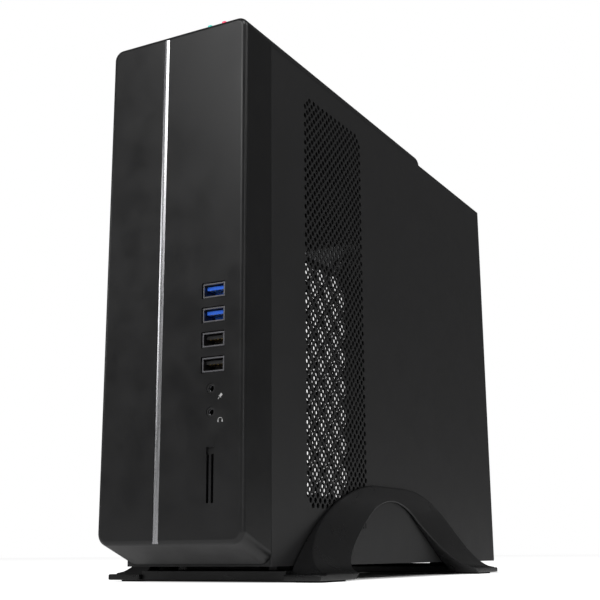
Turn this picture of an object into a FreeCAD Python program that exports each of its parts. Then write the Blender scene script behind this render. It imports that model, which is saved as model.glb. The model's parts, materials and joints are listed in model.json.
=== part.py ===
"""Slim desktop computer tower on a plastic stand, written as one STEP file per piece.

Everything is drawn in case coordinates, in millimetres: X runs to the right seen from the front,
Y runs back from the front face and Z runs up from the underside of the steel case. save() moves
each piece so that the origin is on the floor, at the centre of the whole object's box.
"""
import FreeCAD
import Part
import math
import os

V = FreeCAD.Vector
X_AXIS, Y_AXIS, Z_AXIS = V(1, 0, 0), V(0, 1, 0), V(0, 0, 1)

# --- driving dimensions -------------------------------------------------------------------------
case_width = 99.0             # over the side covers
case_height = 312.0           # steel body, without the raised cap
case_depth = 408.0            # front face to the rear flanges of the side covers
sheet = 0.8                   # folded steel sheet
bezel_depth = 29.6
bezel_wall = 2.4
bezel_top_round = 6.5         # upper corners seen from the front
bezel_bottom_round = 7.0      # lower corners seen from the front
bezel_edge_round = 3.2        # front edges
chin_height = 12.4            # where the front face turns into the sloped chin
chin_back_height = 1.0        # height of the chin where it meets the steel body
cap_rise = 8.0                # raised top cover above the steel body
cap_end = 272.0               # rear end of the raised top cover
cap_wall = 2.0
stand_lift = 9.0              # floor to the underside of the case
stand_reach = 73.4            # centre line to the outer rim of a foot
stand_centre = 193.5          # middle of the arch, behind the front face
stand_half = 151.5            # middle of the arch to the tip of a foot
foot_length = 44.5            # a foot along its outer rim
arch_top = 50.7               # crown of the arch above the underside of the case
arch_band = 9.7               # depth of the arch band at its crown
hole_pitch = 6.2              # vent holes along a row; every second row is offset by half
hole_radius = 1.75
board_size = 170.0            # square main board
standoff_height = 6.5
psu_width, psu_height, psu_depth = 85.0, 65.0, 175.0
disc_thickness, disc_width, disc_length = 26.1, 101.6, 147.0
ssd_thickness, ssd_width, ssd_length = 7.0, 69.85, 100.0
cpu_fan_size, psu_fan_size, fan_depth = 92.0, 80.0, 15.0
usb_width, usb_height, usb_pitch = 13.8, 7.4, 14.3
usb_column = 28.8             # centre of the USB column
usb_top = 153.1               # centre of the highest USB port
jack_column, jack_top, jack_pitch = 28.0, 96.6, 13.2
jack_radius = 1.75
reader_column, reader_middle, reader_height = 28.0, 47.0, 26.4
strip_width, strip_column = 4.0, -7.95
button_radius, button_travel = 6.5, 1.5
button_x, button_y = 27.5, 16.0
window_size = 38.0            # square openings in the chassis, the tray and the drive bracket
cover_travel = 12.0           # how far a side cover slides back before it lifts off

# --- clearances ---------------------------------------------------------------------------------
slide_gap = 0.3               # between a moving piece and its neighbours
seam_gap = 0.4                # open seam between the bezel and a side cover
shaft_gap = 0.05              # round shaft in its hole, on the radius
fit_gap = 0.2                 # fixed piece in its opening

# --- derived places -----------------------------------------------------------------------------
half_width = case_width / 2
inner_half = half_width - sheet - slide_gap         # edge of the chassis beside a side cover
cover_front = bezel_depth + seam_gap
rear_outer = case_depth - sheet - slide_gap         # outer face of the chassis rear wall
rear_inner = rear_outer - sheet
front_plate = bezel_depth + seam_gap                # front face of the chassis front wall
top_total = case_height + cap_rise
knob_length, knob_radius = 4.5, 3.6                 # head of a thumbscrew behind the case
tray_x = 44.0                                       # inner face of the board tray
board_back = tray_x - standoff_height
board_thickness = 1.6
board_face = board_back - board_thickness
board_rear = rear_inner - 1.5
board_front = board_rear - board_size
board_bottom = 58.0
board_top = board_bottom + board_size
psu_rear = rear_inner
psu_front = psu_rear - psu_depth
psu_top = case_height - sheet - 3.2
psu_bottom = psu_top - psu_height
shield_height, shield_width = 158.75, 44.45         # standard rear port opening
shield_low = board_bottom + 5.6
shield_right = board_back + 1.2
shift = V(0, -(case_depth + knob_length) / 2, stand_lift)


# --- small helpers ------------------------------------------------------------------------------
def block(x_low, x_high, y_low, y_high, z_low, z_high):
    """A box between two corners."""
    return Part.makeBox(x_high - x_low, y_high - y_low, z_high - z_low, V(x_low, y_low, z_low))


def rod(centre, axis, radius, length):
    """A cylinder that starts at centre and runs along axis."""
    return Part.makeCylinder(radius, length, centre, axis)


def tube(centre, axis, outer, inner, length):
    """A hollow cylinder."""
    return rod(centre, axis, outer, length).cut(rod(centre, axis, inner, length))


def outline(points):
    """A closed flat face through points."""
    return Part.Face(Part.makePolygon(list(points) + [points[0]]))


def join(shapes):
    """One solid from touching shapes."""
    first, rest = shapes[0], shapes[1:]
    return first.fuse(rest).removeSplitter() if rest else first


def group(shapes):
    """Separate solids kept together in one node."""
    return Part.makeCompound(shapes)


def rounded(shape, radius, along):
    """Round the straight edges of shape that run along an axis."""
    edges = [e for e in shape.Edges if isinstance(e.Curve, Part.Line)
             and abs(abs(e.Curve.Direction.dot(along)) - 1) < 1e-6]
    return shape.makeFillet(radius, edges)


def save(name, shape):
    """Write one node in the object's own frame."""
    moved = shape.copy()
    moved.translate(shift)
    moved.exportStep("parts/" + name + ".step")


# --- bezel, cap and their small pieces ----------------------------------------------------------
def front_form(inset, y_low, y_high):
    """The bezel's solid form above its sloped chin, with rounded corners, drawn inset from the outside."""
    top, side = top_total - inset, half_width - inset
    body = block(-side, side, y_low, y_high, -1, top)
    top_edges = [e for e in body.Edges if abs(e.CenterOfMass.z - top) < 1e-6
                 and abs(abs(e.CenterOfMass.x) - side) < 1e-6]
    body = body.makeFillet(max(bezel_top_round - inset, 0.5), top_edges).cut(chin_cutter(inset))
    low_edges = [e for e in body.Edges if abs(abs(e.CenterOfMass.x) - side) < 1e-6
                 and e.CenterOfMass.z < chin_height + inset
                 and abs(e.BoundBox.YLength - (y_high - y_low)) < 1e-6]
    return body.makeFillet(max(bezel_bottom_round - inset, 0.5), low_edges)


def chin_cutter(inset):
    """The wedge below the sloped chin, moved up by inset."""
    rise = (chin_height - chin_back_height) / bezel_depth
    start, end = -10.0, bezel_depth + 10.0
    lift = inset * math.hypot(1, rise)
    face = outline([V(-case_width, start, chin_height - rise * start + lift),
                    V(-case_width, end, chin_height - rise * end + lift),
                    V(-case_width, end, -20), V(-case_width, start, -20)])
    return face.extrude(V(2 * case_width, 0, 0))


def port_places():
    """Centre heights of the four USB ports, from the top."""
    return [usb_top - usb_pitch * step for step in range(4)]


def jack_places():
    """Centre heights of the two audio jacks, from the top."""
    return [jack_top, jack_top - jack_pitch]


boss_x, boss_heights = 43.3, (60.0, 250.0)
port_frame = 0.9              # width of the opening around a USB shell
slot_gap = 3.1                # distance between the two card slots
strip_depth = 1.6
card_slot = 1.6               # width of one card slot
finger_width, finger_height, finger_depth = 5.2, 4.0, 1.2
led_radius = 1.6
led_places = (22.4, 32.6)
led_y = 2.9


def bezel_openings():
    """Everything that is cut through the bezel."""
    cuts = []
    wide, tall = usb_width / 2 + port_frame, usb_height / 2 + port_frame
    for z in port_places():
        cuts.append(block(usb_column - wide, usb_column + wide, -1, bezel_wall + 1, z - tall, z + tall))
    for z in jack_places():
        cuts.append(rod(V(jack_column, -1, z), Y_AXIS, jack_radius + 1.2, bezel_wall + 2))
    for side in (-1, 1):
        x = reader_column + side * slot_gap / 2
        cuts.append(block(x - card_slot / 2, x + card_slot / 2, -1, bezel_wall + 1,
                          reader_middle - reader_height / 2, reader_middle + reader_height / 2))
    finger = reader_middle + reader_height / 2
    cuts.append(block(reader_column - finger_width / 2, reader_column + finger_width / 2, -1, finger_depth,
                      finger, finger + finger_height))
    cuts.append(rod(V(button_x, button_y, top_total - bezel_wall - 1), Z_AXIS,
                    button_radius + slide_gap, bezel_wall + 2))
    for x in led_places:
        cuts.append(rod(V(x, led_y, top_total - 8), Z_AXIS, led_radius + shaft_gap, 12))
    return cuts


def front_bezel():
    """Hollow moulded front with a sloped chin and rounded edges."""
    body = front_form(0, 0, bezel_depth)
    edges = [e for e in body.Edges if abs(e.BoundBox.YMax) < 1e-6]
    body = body.makeFillet(bezel_edge_round, edges)
    hollow = front_form(bezel_wall, bezel_wall, bezel_depth + 1)
    body = body.cut(hollow)
    groove = block(strip_column - strip_width / 2, strip_column + strip_width / 2,
                   -1, strip_depth, chin_height, top_total - bezel_edge_round + 0.6)
    for x in (-boss_x, boss_x):
        for z in boss_heights:
            boss = tube(V(x, bezel_wall, z), Y_AXIS, 3.2, 1.4, front_plate - bezel_wall)
            body = body.fuse(boss)
    return body.cut([groove] + bezel_openings())


def silver_strip():
    """Bright strip let into the front face, lightly crowned."""
    half = strip_width / 2 - 0.05
    low, high = chin_height + 0.1, top_total - bezel_edge_round + 0.5
    body = block(strip_column - half, strip_column + half, 0.0, strip_depth, low, high)
    edges = [e for e in body.Edges if abs(e.BoundBox.YMax) < 1e-6 and e.Length > 50]
    return body.makeChamfer(0.4, edges)


def cap_profile(inset):
    """Side view of the raised cap, with its rounded rear end."""
    low, high = case_height, top_total - inset
    start, end = bezel_depth + fit_gap, cap_end - inset
    round_end = cap_rise * 1.1
    face = Part.Face(Part.Wire([
        Part.LineSegment(V(0, start, low), V(0, start, high)).toShape(),
        Part.LineSegment(V(0, start, high), V(0, end - round_end, high)).toShape(),
        Part.Arc(V(0, end - round_end, high),
                 V(0, end - round_end * (1 - math.sin(math.pi / 4)),
                   low + (high - low) * math.cos(math.pi / 4)),
                 V(0, end, low)).toShape(),
        Part.LineSegment(V(0, end, low), V(0, start, low)).toShape()]))
    return face


def top_cap():
    """Raised moulded cap on the steel body, open underneath."""
    side = half_width
    body = cap_profile(0)
    body.translate(V(-side, 0, 0))
    body = body.extrude(V(2 * side, 0, 0))
    edges = [e for e in body.Edges if abs(abs(e.CenterOfMass.x) - side) < 1e-6
             and abs(e.CenterOfMass.z - top_total) < 1e-6]
    body = body.makeFillet(bezel_top_round, edges)
    inner = side - cap_wall
    start, end = bezel_depth + fit_gap + cap_wall, cap_end - cap_rise * 1.1 - cap_wall
    hollow = block(-inner + 4, inner - 4, start, end, case_height - 1, top_total - cap_wall)
    return body.cut(hollow)


def power_button():
    """Round push button with a stem, standing just proud of the bezel's top."""
    head = rod(V(button_x, button_y, top_total - bezel_wall), Z_AXIS, button_radius, bezel_wall + 0.8)
    top_edge = [e for e in head.Edges if abs(e.BoundBox.ZMin - top_total - 0.8) < 1e-6]
    head = head.makeFillet(0.6, top_edge)
    flange = rod(V(button_x, button_y, top_total - bezel_wall - 1.5), Z_AXIS, button_radius + 1.2, 1.2)
    neck = rod(V(button_x, button_y, top_total - bezel_wall - 1.5), Z_AXIS, button_radius, 1.6)
    stem = rod(V(button_x, button_y, top_total - bezel_wall - 5.5), Z_AXIS, 1.6, 4.5)
    return join([head, neck, flange, stem])


switch_top = top_total - bezel_wall - 5.5 - button_travel - slide_gap
switch_size = 6.0


def power_switch():
    """Small push switch on a carrier board under the button."""
    half = switch_size / 2
    carrier = block(button_x - 9, button_x + 9, bezel_wall + 0.1, bezel_depth,
                    switch_top - 5.1, switch_top - 3.5)
    housing = block(button_x - half, button_x + half, button_y - half, button_y + half,
                    switch_top - 3.5, switch_top - 0.8)
    return join([carrier, housing, rod(V(button_x, button_y, switch_top - 0.8), Z_AXIS, 1.5, 0.8)])


def led_lens(x):
    """Clear rod that carries a light to the top edge of the front."""
    lens = rod(V(x, led_y, top_total - 7), Z_AXIS, led_radius, 7.6)
    top_edge = [e for e in lens.Edges if abs(e.BoundBox.ZMin - top_total - 0.6) < 1e-6]
    return lens.makeFillet(0.5, top_edge)


# --- ports on the front -------------------------------------------------------------------------
io_board_front = 15.5
io_board_half = 11.0
header_room = 4.4             # from the front board's header to the chassis behind it
shell_front = 0.6


def usb_shell(z):
    """Folded metal shell of one USB port, with a rolled lip at its mouth."""
    wide, tall, wall = usb_width / 2, usb_height / 2, 0.4
    body = block(usb_column - wide, usb_column + wide, shell_front, io_board_front, z - tall, z + tall)
    hollow = block(usb_column - wide + wall, usb_column + wide - wall, shell_front - 1, io_board_front - 2,
                   z - tall + wall, z + tall - wall)
    lip = block(usb_column - wide - 0.5, usb_column + wide + 0.5, shell_front, shell_front + 0.4,
                z - tall - 0.5, z + tall + 0.5)
    return join([body, lip]).cut(hollow)


def usb_tongue(z):
    """Moulded tongue of one USB port, in the upper half of the shell."""
    wide, inner = usb_width / 2 - 1.1, io_board_front - 2
    tongue = block(usb_column - wide, usb_column + wide, shell_front + 2.2, inner, z + 0.5, z + 2.5)
    foot = block(usb_column - wide, usb_column + wide, inner - 2.5, inner, z - 2.6, z + 2.5)
    return join([tongue, foot])


def audio_jack(z):
    """Moulded 3.5 mm socket with a round nose in the bezel."""
    nose = rod(V(jack_column, 0.3, z), Y_AXIS, jack_radius + 1.1, 4.0)
    body = block(jack_column - 4, jack_column + 4, 3.4, io_board_front, z - 4.5, z + 4.5)
    return join([nose, body]).cut(rod(V(jack_column, -1, z), Y_AXIS, jack_radius, 14))


def card_reader():
    """Memory card socket with two upright slots behind the bezel."""
    half = reader_height / 2 + 2
    body = block(reader_column - 5.5, reader_column + 5.5, bezel_wall + 0.1, io_board_front,
                 reader_middle - half, reader_middle + half)
    cuts = []
    for side in (-1, 1):
        x = reader_column + side * slot_gap / 2
        cuts.append(block(x - card_slot / 2, x + card_slot / 2, 0, io_board_front - 2,
                          reader_middle - reader_height / 2, reader_middle + reader_height / 2))
    return body.cut(cuts)


def front_io_board():
    """Circuit board behind the front ports, with its header."""
    board = block(usb_column - io_board_half, usb_column + io_board_half,
                  io_board_front, io_board_front + board_thickness, reader_middle - 18, usb_top + 9)
    header = block(usb_column - 10, usb_column + 10, io_board_front + board_thickness,
                   front_plate - header_room, 112, 121)
    return join([board, header])


# --- steel case ---------------------------------------------------------------------------------
flange = 10.0                 # folded edge of the chassis beside a side cover
hook_length = 10.0
hook_places = (80.0, 200.0, 330.0)
screw_heights = (24.0, 288.0)
screw_radius = 1.75           # 6-32 thumbscrew
screw_column = 44.6           # thumbscrew centre from the centre line
cover_lip = 10.0              # rear flange of a side cover
lead_window = (27.0, 96.0)    # heights of the opening for the front ports' leads
air_x, air_heights = -34.0, (145.0, 192.0, 239.0)   # openings of the front wall for air
rear_vent_x, rear_vent_z = -36.0, 150.0
rear_vent_pitch, rear_vent_radius = 7.0, 2.2
rear_vent_rows, rear_vent_columns = 9, 4
supply_half, supply_margin = 36.0, 5.0              # opening of the rear wall at the power supply
slot_start, slot_end = -38.0, 36.0                  # expansion opening of the rear wall
slot_low, slot_size = 36.0, 13.0


def chassis_frame():
    """Folded steel ring: floor, front wall, roof and rear wall, with edges turned for the covers."""
    ring = block(-inner_half, inner_half, front_plate, rear_outer, 0, case_height)
    ring = ring.cut(block(-case_width, case_width, front_plate + sheet, rear_inner,
                          sheet, case_height - sheet))
    edges = []
    for side in (-1, 1):
        x_low, x_high = sorted((side * inner_half, side * (inner_half - sheet)))
        for z_low, z_high in ((sheet, flange), (case_height - flange, case_height - sheet)):
            edges.append(block(x_low, x_high, front_plate + sheet, rear_inner, z_low, z_high))
    ring = ring.fuse(edges)
    cuts = []
    for side in (-1, 1):
        x_low, x_high = sorted((side * (inner_half - sheet - 1), side * (inner_half + 1)))
        for y in hook_places:
            start, end = y + cover_travel - 1, y + cover_travel + hook_length + 1
            cuts.append(block(x_low, x_high, start, end, sheet + 0.6, flange + 1))
            cuts.append(block(x_low, x_high, start, end, case_height - flange - 1,
                              case_height - sheet - 0.6))
    return ring.cut(cuts + chassis_windows())


def rear_vent_holes():
    """Round holes in the rear wall beside the rear ports."""
    holes = []
    for row in range(rear_vent_rows):
        for column in range(rear_vent_columns):
            x, z = rear_vent_x + column * rear_vent_pitch, rear_vent_z + row * rear_vent_pitch
            holes.append(rod(V(x, rear_inner - 1, z), Y_AXIS, rear_vent_radius, 4))
    return holes


def chassis_windows():
    """Openings of the front and rear walls and the floor."""
    cuts = [block(usb_column - io_board_half, usb_column + io_board_half,
                  front_plate - 1, front_plate + 2, *lead_window),
            block(-supply_half, supply_half, rear_inner - 1, rear_outer + 1,
                  psu_bottom + supply_margin, psu_top - supply_margin),
            block(shield_right - shield_width, shield_right, rear_inner - 1, rear_outer + 1,
                  shield_low, shield_low + shield_height),
            block(slot_start, slot_end, rear_inner - 1, rear_outer + 1, slot_low, slot_low + slot_size)]
    for z in air_heights:
        cuts.append(block(air_x, air_x + window_size, front_plate - 1, front_plate + 2, z, z + window_size))
    for side in (-1, 1):
        for z in screw_heights:
            cuts.append(rod(V(side * screw_column, rear_inner - 1, z), Y_AXIS, screw_radius + shaft_gap, 4))
    for x in (-boss_x, boss_x):
        for z in boss_heights:
            cuts.append(rod(V(x, front_plate - 1, z), Y_AXIS, 1.4, 4))
    for x, y in stand_screw_places():
        cuts.append(rod(V(x, y, -1), Z_AXIS, 1.6, 3))
    return cuts + rear_vent_holes()


def vent_box(side):
    """Y and Z limits of the window in one side cover: (y_low, y_high, z_low, z_high)."""
    return (70.0, 157.5, 30.0, 300.0) if side > 0 else (240.0, 328.0, 50.0, 243.0)


def rounded_panel(x_low, x_high, y_low, y_high, z_low, z_high, radius):
    """A flat plate across X with rounded corners."""
    return rounded(block(x_low, x_high, y_low, y_high, z_low, z_high), radius, X_AXIS)


window_round = 12.0
mark_places, mark_low = (149.4, 152.6), 22.5        # two short slots low on the right-hand cover
mark_width, mark_height = 1.1, 4.6


def cover_hook(side, y, roof):
    """One L-shaped hook that holds a side cover behind the chassis edge."""
    inner, behind = half_width - sheet, inner_half - sheet - 0.8
    clear = 0.6
    z_edge = case_height - flange - clear if roof else flange + clear
    z_low, z_high = (z_edge - sheet, z_edge) if roof else (z_edge, z_edge + sheet)
    x_low, x_high = sorted((side * (behind - sheet), side * inner))
    arm = block(x_low, x_high, y, y + hook_length, z_low, z_high)
    z_low, z_high = (z_low, z_high + 5) if roof else (z_low - 5, z_high)
    x_low, x_high = sorted((side * (behind - sheet), side * behind))
    return arm.fuse(block(x_low, x_high, y, y + hook_length, z_low, z_high))


def side_cover(side):
    """Side cover with a window for its vent plate, hooks inside and a rear flange for two screws."""
    x_low, x_high = sorted((side * (half_width - sheet), side * half_width))
    body = block(x_low, x_high, cover_front, case_depth, 0, case_height)
    x_low, x_high = sorted((side * (half_width - cover_lip), side * half_width))
    body = body.fuse(block(x_low, x_high, case_depth - sheet, case_depth, 0, case_height))
    hooks = [cover_hook(side, y, roof) for y in hook_places for roof in (False, True)]
    body = join([body] + hooks)
    y_low, y_high, z_low, z_high = vent_box(side)
    x_low, x_high = sorted((side * (half_width - sheet - 1), side * (half_width + 1)))
    cuts = [rounded_panel(x_low, x_high, y_low, y_high, z_low, z_high, window_round)]
    for z in screw_heights:
        cuts.append(rod(V(side * screw_column, case_depth - 2, z), Y_AXIS, screw_radius + shaft_gap, 4))
    if side > 0:
        for y in mark_places:
            cuts.append(block(x_low, x_high, y - mark_width / 2, y + mark_width / 2,
                              mark_low, mark_low + mark_height))
    return body.cut(cuts)


def vent_holes(side):
    """Round wires of the staggered vent holes that fit inside the window."""
    y_low, y_high, z_low, z_high = vent_box(side)
    x = side * half_width
    edge = hole_radius + 1.4
    wires = []
    columns = int((y_high - y_low) / (hole_pitch / 2)) + 1
    rows = int((z_high - z_low) / hole_pitch) + 1
    y_start = (y_low + y_high) / 2 - (columns - 1) * hole_pitch / 4
    z_start = (z_low + z_high) / 2 - (rows - 1) * hole_pitch / 2
    for column in range(columns):
        for row in range(rows + 1):
            y = y_start + column * hole_pitch / 2
            z = z_start + (row - 0.5 * (column % 2)) * hole_pitch
            if inside_window(y, z, y_low + edge, y_high - edge, z_low + edge, z_high - edge):
                wires.append(Part.Wire(Part.makeCircle(hole_radius, V(x, y, z), X_AXIS)))
    return wires


def inside_window(y, z, y_low, y_high, z_low, z_high):
    """True where a hole centre keeps clear of the window's edge and its round corners."""
    if not (y_low <= y <= y_high and z_low <= z <= z_high):
        return False
    corner = window_round - hole_radius
    y_in = max(y_low + corner - y, y - (y_high - corner), 0)
    z_in = max(z_low + corner - z, z - (z_high - corner), 0)
    return math.hypot(y_in, z_in) <= corner


def vent_panel(side):
    """Perforated steel plate, flush in the window of a side cover."""
    y_low, y_high, z_low, z_high = vent_box(side)
    x_low, x_high = sorted((side * (half_width - sheet), side * half_width))
    plate = rounded_panel(x_low, x_high, y_low, y_high, z_low, z_high, window_round)
    face = [f for f in plate.Faces if abs(f.CenterOfMass.x - side * half_width) < 1e-6
            and abs(f.normalAt(0, 0).x) > 0.9][0]
    pierced = Part.Face([face.OuterWire] + vent_holes(side))
    return pierced.extrude(V(-side * sheet, 0, 0))


def thumbscrew(side, z):
    """Captive thumbscrew: knurled head, shoulder and thread."""
    x = side * screw_column
    teeth = 20
    head = rod(V(x, case_depth + 0.5, z), Y_AXIS, knob_radius, knob_length - 0.5)
    rim = [e for e in head.Edges if abs(e.BoundBox.YMin - case_depth - knob_length) < 1e-6]
    head = head.makeFillet(0.5, rim)
    cuts = []
    for tooth in range(teeth):
        angle = 2 * math.pi * tooth / teeth
        reach = knob_radius + 0.12
        cuts.append(rod(V(x + reach * math.cos(angle), case_depth + 0.4, z + reach * math.sin(angle)),
                        Y_AXIS, 0.32, knob_length))
    cuts.append(block(x - 2.4, x + 2.4, case_depth + knob_length - 1.2, case_depth + knob_length + 1,
                      z - 0.5, z + 0.5))
    collar = rod(V(x, case_depth + slide_gap, z), Y_AXIS, 2.9, 0.4)
    shaft = rod(V(x, rear_inner - 3, z), Y_AXIS, screw_radius, case_depth - rear_inner + 5)
    return join([head.cut(cuts), collar, shaft])


# --- stand --------------------------------------------------------------------------------------
pad_thickness = 1.0
arch_gap = 0.4                # between a side cover and the stand
arch_skin = 1.5
stand_low = -stand_lift + pad_thickness
foot_rim = -4.0               # top of the vertical rim of a foot
toe_top = foot_rim - 0.6      # top of the short toe at each end of a foot
flare_top = 40.0              # height where the stand starts to flare out
arch_shoulder = 21.5          # half of the arch's flat crown
arch_radius = 163.0
opening_radius = 75.0
opening_angle = 28.0          # degrees, where the opening turns from its arc into straight sides
bar_inset = 3.0
bar_top = -2.6                # upper face of a cross bar, just below the case
boss_radius = 6.0


def arch_outer():
    """Side view of the arch's outside, as a face across X at X = 0."""
    drop = arch_radius - arch_top + toe_top
    reach = math.sqrt(arch_radius ** 2 - drop ** 2)
    bend = math.radians(25)
    middle = V(0, 0, arch_top - arch_radius * (1 - math.cos(bend)))
    halves = []
    for side in (-1, 1):
        start = V(0, stand_centre + side * arch_shoulder, arch_top)
        halfway = middle + V(0, start.y + side * arch_radius * math.sin(bend), 0)
        end = V(0, start.y + side * reach, toe_top)
        toe = V(0, stand_centre + side * stand_half, toe_top)
        base = V(0, toe.y, stand_low - 2)
        halves.append((start, halfway, end, toe, base))
    left, right = halves
    edges = [Part.makeLine(left[4], left[3]), Part.makeLine(left[3], left[2]),
             Part.Arc(left[2], left[1], left[0]).toShape(), Part.makeLine(left[0], right[0]),
             Part.Arc(right[0], right[1], right[2]).toShape(), Part.makeLine(right[2], right[3]),
             Part.makeLine(right[3], right[4]), Part.makeLine(right[4], left[4])]
    return Part.Face(Part.Wire(edges))


def arch_opening():
    """Side view of the opening below the arch, as a face across X at X = 0."""
    top = arch_top - arch_band
    angle = math.radians(opening_angle)
    half = angle / 2
    turn = (opening_radius * math.sin(angle), top - opening_radius * (1 - math.cos(angle)))
    end = stand_half - foot_length
    low = -stand_lift - 1
    slope = (turn[1] - stand_low) / (end - turn[0])
    foot = end + (stand_low - low) / slope
    crown = V(0, stand_centre, top)
    turns = [V(0, stand_centre + side * turn[0], turn[1]) for side in (-1, 1)]
    feet = [V(0, stand_centre + side * foot, low) for side in (-1, 1)]
    mids = [V(0, stand_centre + side * opening_radius * math.sin(half),
              top - opening_radius * (1 - math.cos(half))) for side in (-1, 1)]
    return Part.Face(Part.Wire([
        Part.LineSegment(feet[0], turns[0]).toShape(),
        Part.Arc(turns[0], mids[0], crown).toShape(),
        Part.Arc(crown, mids[1], turns[1]).toShape(),
        Part.LineSegment(turns[1], feet[1]).toShape(),
        Part.LineSegment(feet[1], feet[0]).toShape()]))


def flare(side):
    """Front view of the stand: a thin skin that sweeps out in a quarter ellipse to the foot's rim."""
    inner = half_width + arch_gap
    outer = inner + arch_skin
    steps = 14
    points = [V(side * inner, 0, stand_low), V(side * inner, 0, arch_top + 1),
              V(side * outer, 0, arch_top + 1)]
    curve = []
    for step in range(steps + 1):
        angle = math.pi / 2 * step / steps
        curve.append(V(side * (stand_reach - (stand_reach - outer) * math.cos(angle)), 0,
                       flare_top - (flare_top - foot_rim) * math.sin(angle)))
    spline = Part.BSplineCurve()
    spline.interpolate(curve)
    edges = [Part.makeLine(points[0], points[1]), Part.makeLine(points[1], points[2]),
             Part.makeLine(points[2], curve[0]), spline.toShape(),
             Part.makeLine(curve[-1], V(side * stand_reach, 0, stand_low)),
             Part.makeLine(V(side * stand_reach, 0, stand_low), points[0])]
    face = Part.Face(Part.Wire(edges))
    return face.extrude(V(0, case_depth, 0))


def stand_arch(side):
    """One side of the stand: an arch that joins a front foot and a rear foot."""
    outer = arch_outer().extrude(V(side * (stand_reach + 5), 0, 0))
    opening = arch_opening().extrude(V(side * (stand_reach + 10), 0, 0))
    return flare(side).common(outer).cut(opening).removeSplitter()


def bar_places():
    """Y limits of the front and rear cross bars."""
    near = (stand_centre - stand_half + bar_inset, stand_centre - stand_half + foot_length)
    far = (stand_centre + stand_half - foot_length, stand_centre + stand_half - bar_inset)
    return near, far


def stand_screw_places():
    """Centres of the four screws that hold the case on the stand."""
    return [(x, (low + high) / 2) for low, high in bar_places() for x in (-32.0, 32.0)]


def stand_bar(index):
    """Cross bar under the case, with two bosses that carry it."""
    y_low, y_high = bar_places()[index]
    inner = half_width + arch_gap
    places = stand_screw_places()[2 * index:2 * index + 2]
    bosses = [rod(V(x, y, stand_low), Z_AXIS, boss_radius, -stand_low) for x, y in places]
    body = join([block(-inner, inner, y_low, y_high, stand_low, bar_top), *bosses])
    for x, y in places:
        body = body.cut(rod(V(x, y, stand_low - 1), Z_AXIS, 1.6 + shaft_gap, 12))
        body = body.cut(rod(V(x, y, stand_low - 1), Z_AXIS, 3.6, 3.2))
    return body


def stand_screws():
    """Four pan-head screws up into the floor of the chassis."""
    screws = []
    for x, y in stand_screw_places():
        screws.append(join([rod(V(x, y, stand_low + 0.2), Z_AXIS, 3.0, 2.0),
                            rod(V(x, y, stand_low + 1), Z_AXIS, 1.55, -stand_low + 3)]))
    return screws


def stand_pads():
    """Rubber pads under the four feet."""
    pads = []
    for low, high in bar_places():
        for side in (-1, 1):
            middle = (low + high) / 2
            x_low, x_high = sorted((side * (half_width + 3), side * (stand_reach - 3)))
            pad = block(x_low, x_high, middle - 16, middle + 16, -stand_lift, stand_low)
            pads.append(rounded(pad, 3.0, Z_AXIS))
    return group(pads)


# --- main board and what stands on it -----------------------------------------------------------
def board_hole_places():
    """Centres of the four board holes: (y, z)."""
    return [(board_rear - 6.35 - dy, board_bottom + 6.35 + dz)
            for dy in (0, 157.48) for dz in (0, 154.94)]


def board_tray():
    """Steel tray beside the right-hand cover, turned in at the rear and the floor."""
    plate = block(tray_x, tray_x + sheet, board_front - 6, rear_inner, sheet, board_top + 6)
    foot = block(tray_x - 9, tray_x, board_front - 6, board_rear - 20, sheet, 2 * sheet)
    half = window_size / 2
    window = block(tray_x - 1, tray_x + 2, socket_y - half, socket_y + half,
                   socket_z - half, socket_z + half)
    holes = [rod(V(tray_x - 1, y, z), X_AXIS, 1.6, 4) for y, z in board_hole_places()]
    slots = [block(tray_x - 1, tray_x + 2, board_front + 10, board_rear - 60, z, z + 5) for z in (20, 34)]
    corner = block(tray_x - 1, tray_x + 2, rear_inner - 8, rear_inner + 1,
                   screw_heights[0] - 8, screw_heights[0] + 8)
    return join([plate, foot]).cut([window, corner] + holes + slots)


def standoffs():
    """Hexagonal brass standoffs between the tray and the board."""
    pieces = []
    for y, z in board_hole_places():
        corners = [V(board_back, y + 2.9 * math.cos(math.pi * k / 3), z + 2.9 * math.sin(math.pi * k / 3))
                   for k in range(6)]
        body = outline(corners).extrude(V(standoff_height, 0, 0))
        stud = rod(V(tray_x, y, z), X_AXIS, 1.55, 2.2)
        pieces.append(join([body, stud]).cut(rod(V(board_back - 1, y, z), X_AXIS, 1.3, 5)))
    return group(pieces)


def board_screws():
    """Screws that hold the board on its standoffs."""
    screws = []
    for y, z in board_hole_places():
        screws.append(join([rod(V(board_face - 2, y, z), X_AXIS, 2.9, 2.0),
                            rod(V(board_face - 1, y, z), X_AXIS, 1.25, board_thickness + 4.5)]))
    return screws


def main_board():
    """Circuit board with its four mounting holes."""
    board = block(board_face, board_back, board_front, board_rear, board_bottom, board_top)
    return board.cut([rod(V(board_face - 1, y, z), X_AXIS, 1.6, 4) for y, z in board_hole_places()])


socket_y = board_rear - 77.0
socket_z = board_bottom + 92.0
socket_half = 22.5
socket_height = 4.0
chip_half = 18.75
chip_height = 3.4


def cpu_socket():
    """Processor socket frame on the board."""
    body = block(board_face - socket_height, board_face, socket_y - socket_half, socket_y + socket_half,
                 socket_z - socket_half, socket_z + socket_half)
    pocket = chip_half + fit_gap
    return body.cut(block(board_face - socket_height - 1, board_face - 1,
                          socket_y - pocket, socket_y + pocket, socket_z - pocket, socket_z + pocket))


def processor():
    """Processor with its metal lid."""
    base = block(board_face - 1 - 1.2, board_face - 1, socket_y - chip_half, socket_y + chip_half,
                 socket_z - chip_half, socket_z + chip_half)
    lid = block(board_face - 1 - chip_height, board_face - 2.2, socket_y - 15, socket_y + 15,
                socket_z - 15, socket_z + 15)
    return join([base, lid])


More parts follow.
